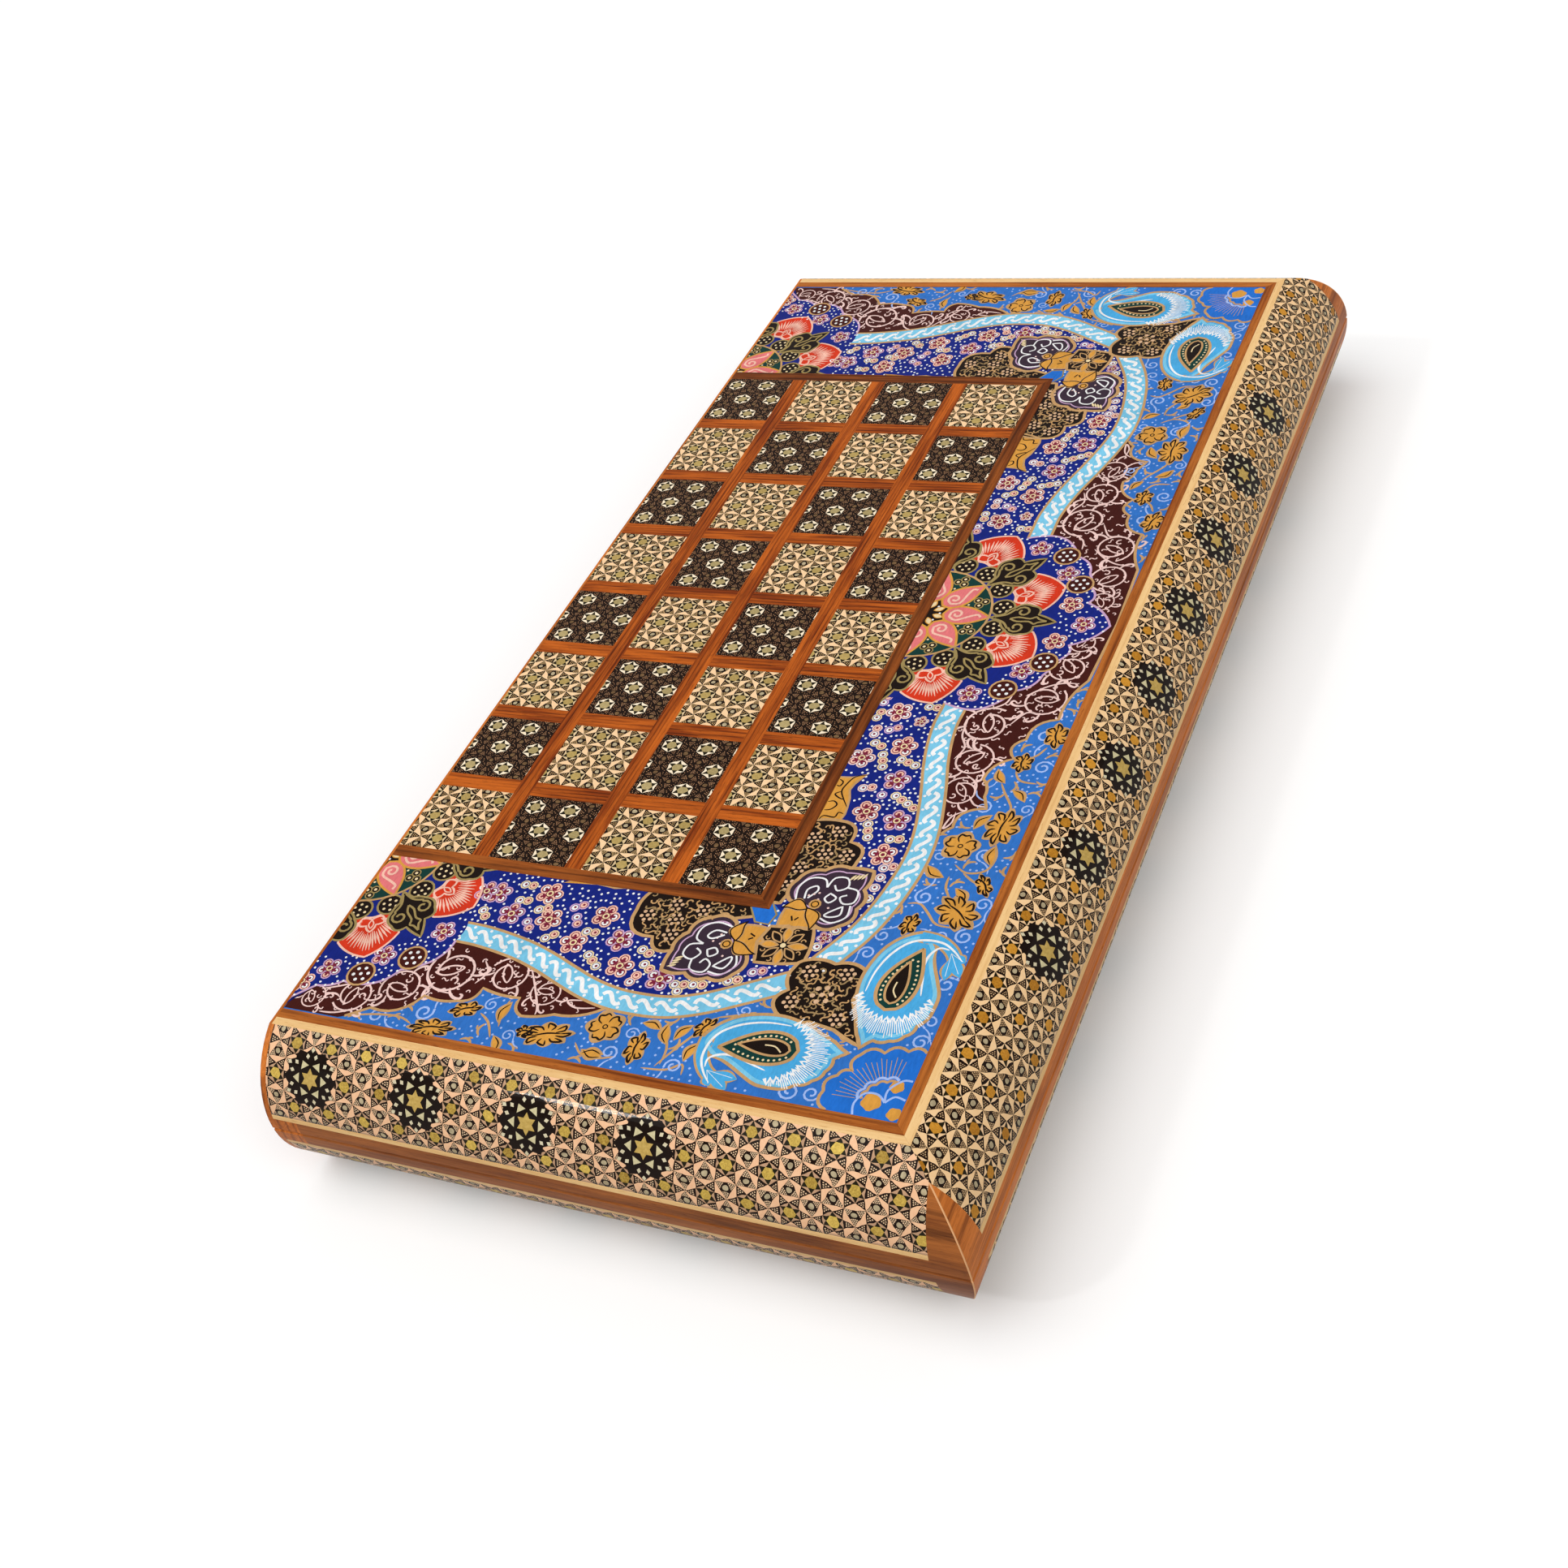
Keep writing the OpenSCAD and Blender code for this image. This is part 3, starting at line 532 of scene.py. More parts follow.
def blade(base, tip, width, belly=0.5, bend=0.0, round_foot=False, steps=12):
    """The two edges of a leaf: its middle line is bent by a parabola, and half its width is the
    sine of a power of the way along, with the widest place at belly. With a round foot, the
    part up to the belly is half an ellipse, and the rest a quarter of a cosine."""
    base, tip = np.asarray(base, float), np.asarray(tip, float)
    t = np.linspace(0, 1, steps)[:, None]
    along = tip - base
    across = np.array([-along[1], along[0]])
    middle = base + t * along + 4 * t * (1 - t) * bend * across
    swell = np.sin(np.pi * t ** (math.log(0.5) / math.log(belly)))
    if round_foot:
        t_foot = np.clip(1 - t / belly, 0, 1)
        swell = np.where(t < belly, np.sqrt(1 - t_foot**2), np.cos(np.pi / 2 * (t - belly) / (1 - belly)))
    half = width / 2 * swell
    out = across / np.hypot(*across) * half
    return middle + out, middle - out


def spiral(radius, turns, start=0.0, core=0.3, hand=1, steps=12):
    """A path whose radius falls evenly from radius to its core share over the turns."""
    t = np.linspace(0, 1, max(4, int(steps * abs(turns))))
    reach = radius * (1 - (1 - core) * t)
    return reach[:, None] * way(start + hand * 360 * turns * t)


def inside(points, outline):
    """For each point, whether a ray from it crosses the outline an odd number of times."""
    a, b = outline, np.roll(outline, -1, 0)
    x, y = points[:, :1], points[:, 1:]
    spans = (a[:, 1] > y) != (b[:, 1] > y)
    rise = np.where(b[:, 1] == a[:, 1], 1e-9, b[:, 1] - a[:, 1])
    meets = (b[:, 0] - a[:, 0]) * (y - a[:, 1]) / rise + a[:, 0]
    return np.sum(spans & (x < meets), 1) % 2 == 1


class Brush:
    """Lays paint in flat shapes on a sheet, in a frame that can be moved, turned and mirrored.

    The sheet is a list of (points, triangles, colour, level). Taken holds the circles that the
    sprinkled dots keep clear of."""

    def __init__(self, sheet, taken, matrix):
        self.sheet, self.taken, self.matrix = sheet, taken, matrix

    def at(self, x, y, turn=0.0, size=1.0, flip=1.0):
        """The brush moved, turned and sized, and mirrored by a flip of -1."""
        cosine, sine = way(turn)
        local = np.array([[cosine * size, -sine * size * flip, x],
                          [sine * size, cosine * size * flip, y], [0, 0, 1]])
        return Brush(self.sheet, self.taken, self.matrix @ local)

    def world(self, points):
        """Points in the board's own frame."""
        return np.asarray(points, float) @ self.matrix[:2, :2].T + self.matrix[:2, 2]

    def keep(self, radius, x=0.0, y=0.0):
        """Keeps later dots out of a circle."""
        size = math.sqrt(abs(np.linalg.det(self.matrix[:2, :2])))
        self.taken.append((*self.world([[x, y]])[0], radius * size))

    def lay(self, edge_a, edge_b, colour, level):
        """Two triangles for each step between the edges."""
        count = len(edge_a)
        i = np.arange(count - 1)
        triangles = np.vstack([np.stack([i, i + 1, i + 1 + count], -1),
                               np.stack([i, i + 1 + count, i + count], -1)])
        self.sheet.append((self.world(np.vstack([edge_a, edge_b])), triangles, colour, level))

    def stroke(self, path, width, colour, level, taper=False):
        """Two edges, each half the width away from the path, thinned to a fifth at the ends if
        it tapers."""
        path = np.asarray(path, float)
        closed = np.allclose(path[0], path[-1])
        run = np.gradient(path, axis=0)
        if closed:
            run[0] = run[-1] = path[1] - path[-2]
        run /= np.maximum(np.hypot(run[:, 0], run[:, 1]), 1e-6)[:, None]
        half = np.full((len(path), 1), width / 2)
        if taper:
            half *= 0.2 + 0.8 * np.sqrt(np.sin(np.pi * np.linspace(0, 1, len(path))))[:, None]
        out = np.stack([-run[:, 1], run[:, 0]], -1) * half
        self.lay(path + out, path - out, colour, level)

    def fill(self, outline, colour, level, centre=None):
        """A fan from the centre to a closed outline."""
        outline = np.asarray(outline, float)
        centre = outline[:-1].mean(0) if centre is None else np.asarray(centre, float)
        self.lay(np.broadcast_to(centre, outline.shape), outline, colour, level)

    def shape(self, outline, colour, line, width, level, centre=None):
        """A filled outline with a line of another colour round it."""
        self.fill(outline, colour, level, centre)
        self.stroke(outline, width, line, level + 1)

    def leaf(self, base, tip, width, colour, level, line=None, line_width=0.5, **form):
        """A filled blade, with a line round it if it has one."""
        edges = blade(base, tip, width, **form)
        self.lay(*edges, colour, level)
        if line:
            self.stroke(np.vstack([edges[0], edges[1][::-1]]), line_width, line, level + 1)

    def disc(self, x, y, radius, colour, level, sides=10):
        self.fill((x, y) + radius * way(np.linspace(0, 360, sides + 1)), colour, level, (x, y))

    def ring(self, x, y, radius, width, colour, level, sides=10):
        round_it = way(np.linspace(0, 360, sides + 1))
        self.lay((x, y) + (radius + width / 2) * round_it, (x, y) + (radius - width / 2) * round_it,
                 colour, level)

    def dots(self, centres, radius, colour, level):
        """Hexagons, all in one piece."""
        centres = np.asarray(centres, float)
        corners = centres[:, None] + radius * way(60 * np.arange(6))
        fan = np.array([[0, 1, 2], [0, 2, 3], [0, 3, 4], [0, 4, 5]])
        triangles = (fan[None] + 6 * np.arange(len(centres))[:, None, None]).reshape(-1, 3)
        self.sheet.append((self.world(corners.reshape(-1, 2)), triangles, colour, level))


TRIES = 4000         # random places that are tried for each sprinkled field


def sprinkle(brush, outline, gap, rng, margin):
    """Random places in an outline, at least a gap apart and clear of what is already there."""
    places = rng.uniform(outline.min(0), outline.max(0), (TRIES, 2))
    places = places[inside(places, outline)]
    world = brush.world(places)
    if brush.taken:
        taken = np.array(brush.taken)
        away = np.hypot(world[:, None, 0] - taken[:, 0], world[:, None, 1] - taken[:, 1])
        places = places[np.all(away > taken[:, 2] + margin, 1)]
    kept = np.empty((0, 2))
    for place in places:
        if not len(kept) or np.hypot(*(kept - place).T).min() > gap:
            kept = np.vstack([kept, place])
    return kept


def seven_dots(brush, x, y, reach, radius, colour, level):
    """A dot with six round it."""
    ring = (x, y) + reach * way(60 * np.arange(6) + 15)
    brush.dots(np.vstack([[(x, y)], ring]), radius, colour, level)


def blossom(brush, level, line, radius):
    """Five round petals, each outlined and with a bright C in it, round an outlined eye."""
    brush.keep(radius + 0.4)
    unit = brush.at(0, 0, size=radius / 5)
    for k in range(5):
        petal = unit.at(*(3.05 * way(72 * k)), 72 * k)
        petal.disc(0, 0, 2.0, "plum", level)
        petal.ring(0, 0, 1.85, 0.55, line, level + 1)
        petal.stroke(spiral(1.0, 0.66, -120, 0.8, steps=10), 0.7, "blush" if k % 2 else "white",
                     level + 2)
    unit.disc(0, 0, 1.7, "plum", level + 2)
    unit.ring(0, 0, 1.05, 0.6, "cream", level + 3, 8)


def buds(brush, level, count, line):
    """A row of round buds, each a bright ring in a thin one."""
    for k in range(count):
        x = 3.1 * (k - (count - 1) / 2)
        brush.keep(1.9, x, 0)
        brush.disc(x, 0, 1.95, line, level, 9)
        brush.disc(x, 0, 1.42, "plum" if k % 2 else "navy", level + 1, 9)
        brush.disc(x, 0, 1.2, "blush" if k % 2 else "white", level + 2, 8)
        brush.disc(x + 0.15, 0.1, 0.55, "plum", level + 3, 6)


def curls(brush, outline, gap, level, rng, colours, length=1.5, width=0.55):
    """Short C and S strokes sprinkled at random turns, whole inside the outline."""
    edge = brush.world(outline)
    for x, y in sprinkle(brush, outline, gap, rng, 0.3):
        curl = brush.at(x, y, rng.uniform(0, 360), length * rng.uniform(0.8, 1.15),
                        rng.choice([-1.0, 1.0]))
        if rng.random() < 0.5:
            path = spiral(0.75, 0.62, 0, 0.75, steps=10)
        else:
            path = curve([(-1.0, 0.5), (-0.6, 0.85), (-0.1, 0.45), (0.1, -0.45), (0.6, -0.85),
                          (1.0, -0.5)], 2)
        if inside(curl.world(path * 1.4), edge).all():
            curl.stroke(path, width / length, colours[rng.integers(len(colours))], level)


def palmette(brush, level):
    """Black pointed leaf with two curled scrolls and a trefoil line in it, and a round lobe with
    seven dots on each side of its foot. It points along x from a foot at 25 mm to a tip at 50 mm."""
    for flip in (1, -1):
        half = brush.at(0, 0, flip=flip)
        half.disc(28.4, 5.9, 4.9, "olive", level, 16)
        half.disc(28.4, 5.9, 4.1, "black", level + 1, 16)
        seven_dots(half, 28.6, 5.9, 2.5, 0.6, "cream", level + 2)
    body = scalloped([(25.2, 0), (30, 2.4), (33, 6.4), (39.4, 8.0), (43, 3.4), (50.6, 0), (43, -3.4),
                      (39.4, -8.0), (33, -6.4), (30, -2.4)],
                     [0.0, 0.08, 0.2, 0.3, 0.04, 0.04, 0.3, 0.2, 0.08, 0.0])
    brush.shape(body, "black", "olive", 0.9, level + 2, (38, 0))
    for flip in (1, -1):
        half = brush.at(0, 0, flip=flip)
        stalk = curve([(27, 0.6), (31, 2.2), (33.4, 5.2)], 4)
        coil = spiral(2.9, 1.1, 165, 0.35, -1) + (36.8, 4.4)
        half.stroke(np.vstack([stalk, coil]), 0.9, "olive", level + 4)
        trefoil = curve([(33, 0), (36, 1.2), (40.4, 0.8), (42.6, 2.0), (44, 0.9), (47, 0)], 3)
        half.stroke(trefoil, 0.8, "olive", level + 4)


def fan_petal(brush, level, rng):
    """Red petal between two palmettes, painted with a small lotus and a fan of pale hairlines.
    It points along x, from 31 mm to 50 mm."""
    body = scalloped([(30.5, -6.2), (43, -11), (52, 0), (43, 11), (30.5, 6.2), (33.5, 0)],
                     [0.05, 0.09, 0.09, 0.05, -0.1, -0.1])
    brush.shape(body, "red", "blush", 0.8, level, (41, 0))
    rim = curve([(36, -7.4), (42.6, -9.8), (47.6, -5.0), (50.0, 0), (47.6, 5.0), (42.6, 9.8),
                 (36, 7.4)], 4)
    root = np.array([33.5, 0.0])
    for end in rim:
        start = root + (end - root) * rng.uniform(0.42, 0.5)
        stop = root + (end - root) * rng.uniform(0.86, 0.97)
        brush.stroke(np.linspace(start, stop, 3), 0.85, "blush", level + 2, taper=True)
    lotus = scalloped([(33.5, -3.6), (36.5, -4.6), (37.2, -1.8), (40.4, 0), (37.2, 1.8), (36.5, 4.6),
                       (33.5, 3.6), (34.6, 0)], 0.12, 3)
    brush.shape(lotus, "red", "blush", 0.8, level + 2, (36, 0))
    brush.leaf((34.8, 0), (38.8, 0), 1.8, "red", level + 3, "blush", 0.5)


def clover(brush, level):
    """Three gold loops with a cream dot in each."""
    for k in range(3):
        x, y = 1.75 * way(120 * k + 90)
        brush.disc(x, y, 1.7, "black", level, 9)
        brush.ring(x, y, 1.6, 0.5, "olive", level + 1, 9)
        brush.disc(x, y, 0.65, "cream", level + 2, 6)


def rosette(brush, level, rng, sectors, drops, blossoms, discs, lobes, lobed):
    """Rosette of eight palmettes with red petals between them, round a bottle green disc with
    pink drops. Navy lobes with blossoms stand behind, and dotted maroon discs between them."""
    brush.fill(lobes, "navy", level, (30, 0) if len(sectors) > 3 else (30, -30))
    brush.stroke(lobes[6:6 * lobed + 1], 0.9, "lilac", level + 1)
    for x, y, line in blossoms:
        blossom(brush.at(x, y, rng.uniform(0, 72)), level + 1, line, 4.6)
    for x, y in discs:
        brush.disc(x, y, 4.9, "maroon", level + 2, 16)
        brush.ring(x, y, 4.9, 0.8, "tan", level + 3, 16)
        seven_dots(brush, x, y, 2.7, 0.72, "white", level + 3)
        brush.keep(5.2, x, y)
    brush.keep(50)
    brush.dots(sprinkle(brush, lobes, 1.8, rng, 0.5), 0.48, "white", level + 2)
    for k in sectors[:-1]:
        fan_petal(brush.at(0, 0, turn=45 * k + 22.5), level + 2, rng)
    for k in sectors:
        palmette(brush.at(0, 0, turn=45 * k), level + 4)
    brush.disc(0, 0, 24.6, "bottle", level + 3, 40)
    brush.ring(0, 0, 24.8, 0.9, "tan", level + 7, 40)
    for k in sectors[:-1]:
        turn = 45 * k + 22.5 + drops
        clover(brush.at(*(20.6 * way(turn)), turn - 90), level + 4)
        brush.dots([16 * way(turn)], 0.5, "cream", level + 4)
    brush.disc(0, 0, 8.6, "black", level + 4, 20)
    for k in sectors:
        drop = brush.at(0, 0, turn=45 * k + drops)
        drop.leaf((6.8, 0), (25.2, 0), 9.8, "pink", level + 5, "ochre", 0.9, belly=0.36,
                  round_foot=True, steps=16)
        coil = spiral(2.7, 1.1, 200, 0.25, -1)[::-1] + (12.2, 0.4)
        tail = curve([(9.6, -1.2), (12.6, -3.0), (17, -0.6), (20.2, 0.9), (21.6, -0.4)], 3)
        drop.stroke(np.vstack([coil, tail]), 0.95, "blush", level + 7)
        drop.leaf((2.6, 1.6), (6.4, 3.6), 2.2, "cream", level + 5, "ochre", 0.4)
        drop.dots([(7.4, 5.2), (5.4, 0.2)], 0.5, "white", level + 5)


def so_far(path):
    """How far each point of a path lies along it."""
    return np.concatenate([[0], np.cumsum(np.hypot(*np.diff(path, axis=0).T))])


def paced(path):
    """Sixty points that stand evenly along a path."""
    length = so_far(path)
    return np.stack([np.interp(np.linspace(0, length[-1], 60), length, path[:, k]) for k in (0, 1)], -1)


STRAP_WIDTH, STRAP_LINE, WAVE_PITCH = 9.6, 1.1, 6.6


def strap(brush, middle, level):
    """Cyan strap with tan edges, along which a white hooked wave and two rows of dots repeat.
    The wave is given by its way along the strap and its height across it."""
    path = curve(middle)
    brush.stroke(path, STRAP_WIDTH, "tan", level)
    brush.stroke(path, STRAP_WIDTH - 2 * STRAP_LINE, "cyan", level + 1)
    run = np.gradient(path, axis=0)
    length = so_far(path)
    out = np.stack([-run[:, 1], run[:, 0]], -1) / np.hypot(run[:, 0], run[:, 1])[:, None]

    def along(u, v):
        place = np.stack([np.interp(u, length, path[:, k]) for k in (0, 1)], -1)
        side = np.stack([np.interp(u, length, out[:, k]) for k in (0, 1)], -1)
        return place + side * np.asarray(v)[..., None]

    shape = curve([(0.2, 0.3), (0.9, 1.3), (2.3, 1.5), (4.0, 0.2), (5.2, -1.0), (6.6, -1.5),
                   (7.7, -0.8)], 3)
    for start in np.arange(1.6, length[-1] - 8, WAVE_PITCH):
        brush.stroke(along(start + shape[:, 0], 1.15 * shape[:, 1]), 1.5, "white", level + 2)
    starts = np.arange(2.5, length[-1] - 2, WAVE_PITCH)
    brush.dots(along(starts + 3.6, 0 * starts + 2.8), 0.62, "white", level + 2)
    brush.dots(along(starts + 0.4, 0 * starts - 2.8), 0.62, "white", level + 2)


def scroll(brush, x, y, radius, start, hand, level):
    """A branch that coils into a circle and ends in a hooked half leaf."""
    coil = brush.at(x, y, start, radius / 7, hand)
    coil.stroke(spiral(7.6, 1.12, 0, 0.58, steps=22), 0.68, "rose", level)
    coil.stroke(curve([(4.2, 2.9), (1.6, 2.6), (-0.9, 0.6), (-1.9, -2.4), (0.9, -1.6), (2.9, 0.3),
                       (4.2, 2.9)], 4), 0.55, "rose", level)
    coil.stroke(spiral(1.4, 0.7, 150, 0.5) + (-2.6, 2.2), 0.55, "rose", level)
    for x, y, turn in ((7.0, -3.4, 300), (-7.2, -3.2, 200), (1.0, 8.4, 80), (-6.2, 5.4, 140)):
        hook = coil.at(x, y, turn)
        leaf = curve([(-2.4, -0.8), (-0.6, -0.9), (1.4, 0.0), (2.4, 1.6), (1.5, 2.4), (0.7, 1.7)], 3)
        hook.stroke(leaf, 0.9, "rose", level, taper=True)


def ochre_flower(brush, level):
    """Ochre flower of five notched petals with black brush lines, on a pale halo."""
    brush.keep(6.4)
    corners = 4.3 * way(72 * np.arange(5) + 36)
    brush.fill(scalloped(corners * 1.25, 0.42), "tan", level)
    brush.fill(scalloped(corners, 0.42), "ochre", level + 1)
    for k in range(5):
        petal = brush.at(0, 0, turn=72 * k)
        notch = curve([(1.5, 1.1), (3.2, 2.2), (5.0, 1.7), (4.7, 0.2), (5.2, -1.1), (3.9, -2.0)], 3)
        petal.stroke(notch, 0.75, "black", level + 2, taper=True)
    brush.ring(0, 0, 0.8, 0.45, "black", level + 2, 8)


def ochre_leaf(brush, level, length, width, points):
    """Ochre leaf with pointed lobes on a pale halo, and a black line in each lobe."""
    brush.keep(max(length, width) / 2 + 0.8)
    corner = np.arange(2 * points)
    reach = np.where(corner % 2 == 0, 0.52, 0.38)
    corners = reach[:, None] * way(180 * corner / points) * (length, width)
    brush.fill(scalloped(corners * 1.12, 0.1, 4), "tan", level)
    brush.fill(scalloped(corners * 0.94, 0.02, 4), "ochre", level + 1)
    for k in range(0, 2 * points, 2):
        tip, hip = corners[k], corners[k - 1]
        brush.stroke(curve([hip * 0.5, hip * 0.98, tip * 0.94, tip * 0.5], 3), 0.8, "black", level + 2,
                     taper=True)
    brush.stroke(curve([(-length * 0.3, -0.4), (0, 0.5), (length * 0.3, 0)], 3), 0.7, "black",
                 level + 2, taper=True)


def ochre_bud(brush, level, length):
    """Small pointed leaf with a black line along one edge."""
    brush.keep(length * 0.35, length / 2, 0)
    brush.leaf((-0.6, 0), (length + 0.8, 0), length * 0.56, "tan", level, bend=0.12)
    brush.leaf((0, 0), (length, 0), length * 0.36, "ochre", level + 1, bend=0.12)
    brush.stroke(curve([(0.3, 0.5), (length * 0.5, length * 0.24), (length * 0.95, 0.1)], 3), 0.5,
                 "black", level + 2, taper=True)


def twig(brush, points, level):
    """A branch that thins out."""
    path = curve(points, 4)
    brush.stroke(path, 0.9, "tan", level, taper=True)
    for x, y in path[::3]:
        brush.keep(0.8, x, y)


def sky_spiral(brush, x, y, radius, start, hand, level):
    """Pale blue tendril coiled on the outer ground."""
    brush.keep(radius + 0.4, x, y)
    coil = brush.at(x, y, start, radius / 3, hand)
    coil.stroke(spiral(3.0, 1.3, 0, 0.25), 0.7, "pale sky", level)
    coil.stroke(curve([(3.0, 0.0), (3.6, -2.0), (5.2, -4.0), (7.5, -4.8)], 3), 0.6, "pale sky", level,
                taper=True)


def boteh(brush, level, rng):
    """Cyan almond with a curled tail, a bottle green drop set with dots, and white feathers
    below it. It stands by the side strap; the same one lies mirrored by the near strap."""
    body = curve([(86.5, -158.5), (82, -153.4), (75.5, -155.8), (70.8, -161), (68.2, -168),
                  (67.4, -176), (68.8, -184)], 5)
    foot = scalloped([(68.8, -184), (71.4, -190), (74.2, -196.6), (77.0, -201.6), (80, -197.8),
                      (85, -197), (89, -194.4), (91.4, -190), (94.2, -183.4)],
                     [0.05, 0.02, -0.05, -0.05, 0.14, 0.16, 0.16, 0.12], 4, False)
    right = curve([(94.2, -183.4), (94.0, -177.6), (91.4, -171.8), (88.8, -166.8), (87.0, -162.4),
                   (86.5, -158.5)], 4)
    tail = curve([(80, -155.2), (86, -155.9), (91, -158.8), (94.0, -162.6), (94.8, -166)], 5)
    almond = np.vstack([body[:-1], foot[:-1], right])
    brush.shape(almond, "boteh", "tan", 1.2, level, (80, -178))
    brush.stroke((80.5, -177) + (almond - (80.5, -177)) * 0.9, 1.3, "cyan", level + 2)
    brush.stroke(tail, 5.2, "tan", level + 1)
    root = np.array([92, -160.4])
    for tip, width in (((97.6, -163.4), 3.4), ((97.8, -169.4), 3.8), ((93.4, -171.4), 3.4)):
        brush.leaf((92.6, -161), tip, width + 1.6, "tan", level + 1, belly=0.6)
        brush.leaf((92.4, -160.6), tip, width, "boteh", level + 3, belly=0.6)
        brush.stroke([root, root + 0.84 * (tip - root)], 0.8, "white", level + 4, taper=True)
    brush.stroke(tail, 3.6, "boteh", level + 2)
    brush.leaf((82, -158), (83, -153.6), 6.0, "boteh", level + 2)
    for line in ([(70.6, -180), (70.8, -172), (73, -164.4), (77, -158.8), (82, -156.6), (88, -156.8),
                  (92.6, -159.4), (96.4, -163)],
                 [(88.4, -178.5), (86.8, -172.6), (85.2, -167), (85.4, -162.4), (87.6, -159),
                  (91, -159.2)]):
        brush.stroke(curve(line, 5), 0.9, "white", level + 4, taper=True)
    turn = np.arange(-164, -6, 4.8)
    zigzag = (10.8 + 2.2 * (np.arange(len(turn)) % 2))[:, None] * way(turn)
    brush.stroke(zigzag + (80.6, -177.6), 1.2, "white", level + 3)
    for degrees in np.arange(-162, -14, 2.6):
        near = 11.4 + rng.uniform(-0.5, 1.4)
        far = 12.0 + 6.6 * math.sin(math.radians(-degrees)) + rng.uniform(-2.0, 0.4)
        if far > near + 1:
            feather = np.array([[near], [far]]) * way(degrees) + [(80.4, -177.6), (80.8, -177.6)]
            brush.stroke(feather, 1.6, "white", level + 3, taper=True)
    drop = {"belly": 0.36, "bend": 0.02, "round_foot": True, "steps": 20}
    brush.leaf((79.2, -185.8), (82.8, -160.2), 12.6, "bottle", level + 4, "tan", 1.2, **drop)
    inner = blade((79.4, -184.4), (82.2, -163.6), 9.4, 0.36, 0.02, True, 13)
    beads = np.vstack([inner[0][1:-1], inner[1][1:-1]])
    brush.dots(beads, 0.45, "cream", level + 6)
    brush.leaf((79.8, -183.2), (80.4, -165.8), 6.2, "black", level + 6, "tan", 0.8, **drop)
    brush.stroke(curve([(81, -180.6), (79.2, -178), (79.2, -174.6)], 4), 0.5, "cream", level + 8)
    brush.keep(15.5, 80.5, -174)
    brush.keep(10, 84, -188)
    brush.keep(6, 90, -161)
    brush.keep(5, 93, -180)


def cloud(brush, level):
    """Slate grey cloud with doubled white scrolls, at the frame's corner."""
    outline = scalloped([(31, -148), (30.2, -139), (38, -133.4), (46, -131), (54.6, -131.2),
                         (54.4, -139.6), (55, -148), (52, -156), (43.6, -157.2), (38, -151)],
                        [0.2, 0.2, 0.16, 0.05, 0.1, 0.2, 0.22, 0.2, 0.0, 0.0])
    brush.shape(outline, "slate", "tan", 1.4, level, (44, -144))
    brush.stroke((44, -144.6) + (outline - (44, -144.6)) * 0.83, 0.55, "lilac", level + 2)
    for points in ([(33.2, -148), (32, -142), (34.6, -137.6), (39.6, -137.2), (41.6, -140.6)],
                   [(35.8, -146.6), (35.4, -142.6), (38, -140.6), (39, -142.6), (36.8, -146.2)],
                   [(41.6, -140.6), (42.8, -136.2), (47, -135.6), (48.6, -139.2), (45.6, -141.4),
                    (43.8, -139.2)],
                   [(48.6, -139.6), (52.6, -140.6), (53, -145.4), (49.6, -146.6), (47.6, -144.2),
                    (49.6, -142.8)], [(52.4, -147), (52.8, -152), (48.6, -155.2), (43.8, -153.6)],
                   [(50, -147.8), (50.4, -151.4), (47.4, -152.9), (45.2, -152.3), (48, -149.4),
                    (50, -147.8)],
                   [(43.8, -143), (46.4, -144.6), (44.6, -147), (42.6, -145.4), (43.8, -143)]):
        brush.stroke(curve(points, 4), 0.65, "white", level + 2)
    for k in range(4):
        brush.leaf((47.8 + 1.3 * k, -136.6 + 0.4 * k), (49.4 + 1.2 * k, -133.6 + 0.4 * k), 0.9, "cream",
                   level + 2)
    brush.dots([(36.8, -145), (38.4, -144.2), (40, -143.4), (41.6, -148.6), (45.4, -149.2),
                (40.6, -146.2)], 0.45, "rose", level + 2)
    for x, y, r in ((38, -142, 8), (48, -138, 8), (47, -150, 8)):
        brush.keep(r, x, y)


def cartouche(brush, level, outline, clusters, rng, centre):
    """Black scalloped field with a tan edge, clusters of seven dots and small curls."""
    brush.shape(outline, "black", "tan", 1.3, level, centre)
    mine = Brush(brush.sheet, [], brush.matrix)
    for x, y in clusters:
        seven_dots(mine, x, y, 2.1, 0.75, "bead", level + 2)
        mine.keep(2.7, x, y)
    inner = centre + (outline - centre) * 0.95
    curls(mine, inner, 1.9, level + 2, rng, ("tan", "curl"))


def ochre_cluster(brush, level):
    """Long ochre leaves with black brush lines that lie against the frame, from y -88 to -113."""
    outline = np.array([(26.0, -90.4), (30.4, -90.0), (35.4, -87.8), (32.8, -91.6), (31.8, -96),
                        (33.4, -100), (34.2, -104.4), (34.6, -107.6), (34.0, -110.8), (29.0, -112.6),
                        (26.0, -113.4), (26.0, -90.4)])
    brush.fill(outline, "ochre", level, (29, -101))
    brush.stroke(outline[:-1], 0.8, "tan", level + 1)
    for points in ([(35.2, -88.2), (31.4, -89.6), (29.6, -93.6), (29.2, -97), (31.2, -100.4),
                    (34, -104.2)], [(26.2, -91.4), (28, -92.6), (27.6, -94.6), (26.2, -94.4)],
                   [(26.2, -102.6), (28.4, -102), (30, -103.6), (28.6, -106), (26.4, -106.6)],
                   [(34, -107.4), (32, -107), (31.4, -109.4), (27.4, -109.2), (26.4, -111.4)],
                   [(29.4, -97), (27.4, -98.6), (29.4, -100.2), (31.4, -100.8)]):
        brush.stroke(curve(points, 4), 0.6, "black", level + 2, taper=True)
    brush.keep(7, 29, -96)
    brush.keep(7, 29, -107)


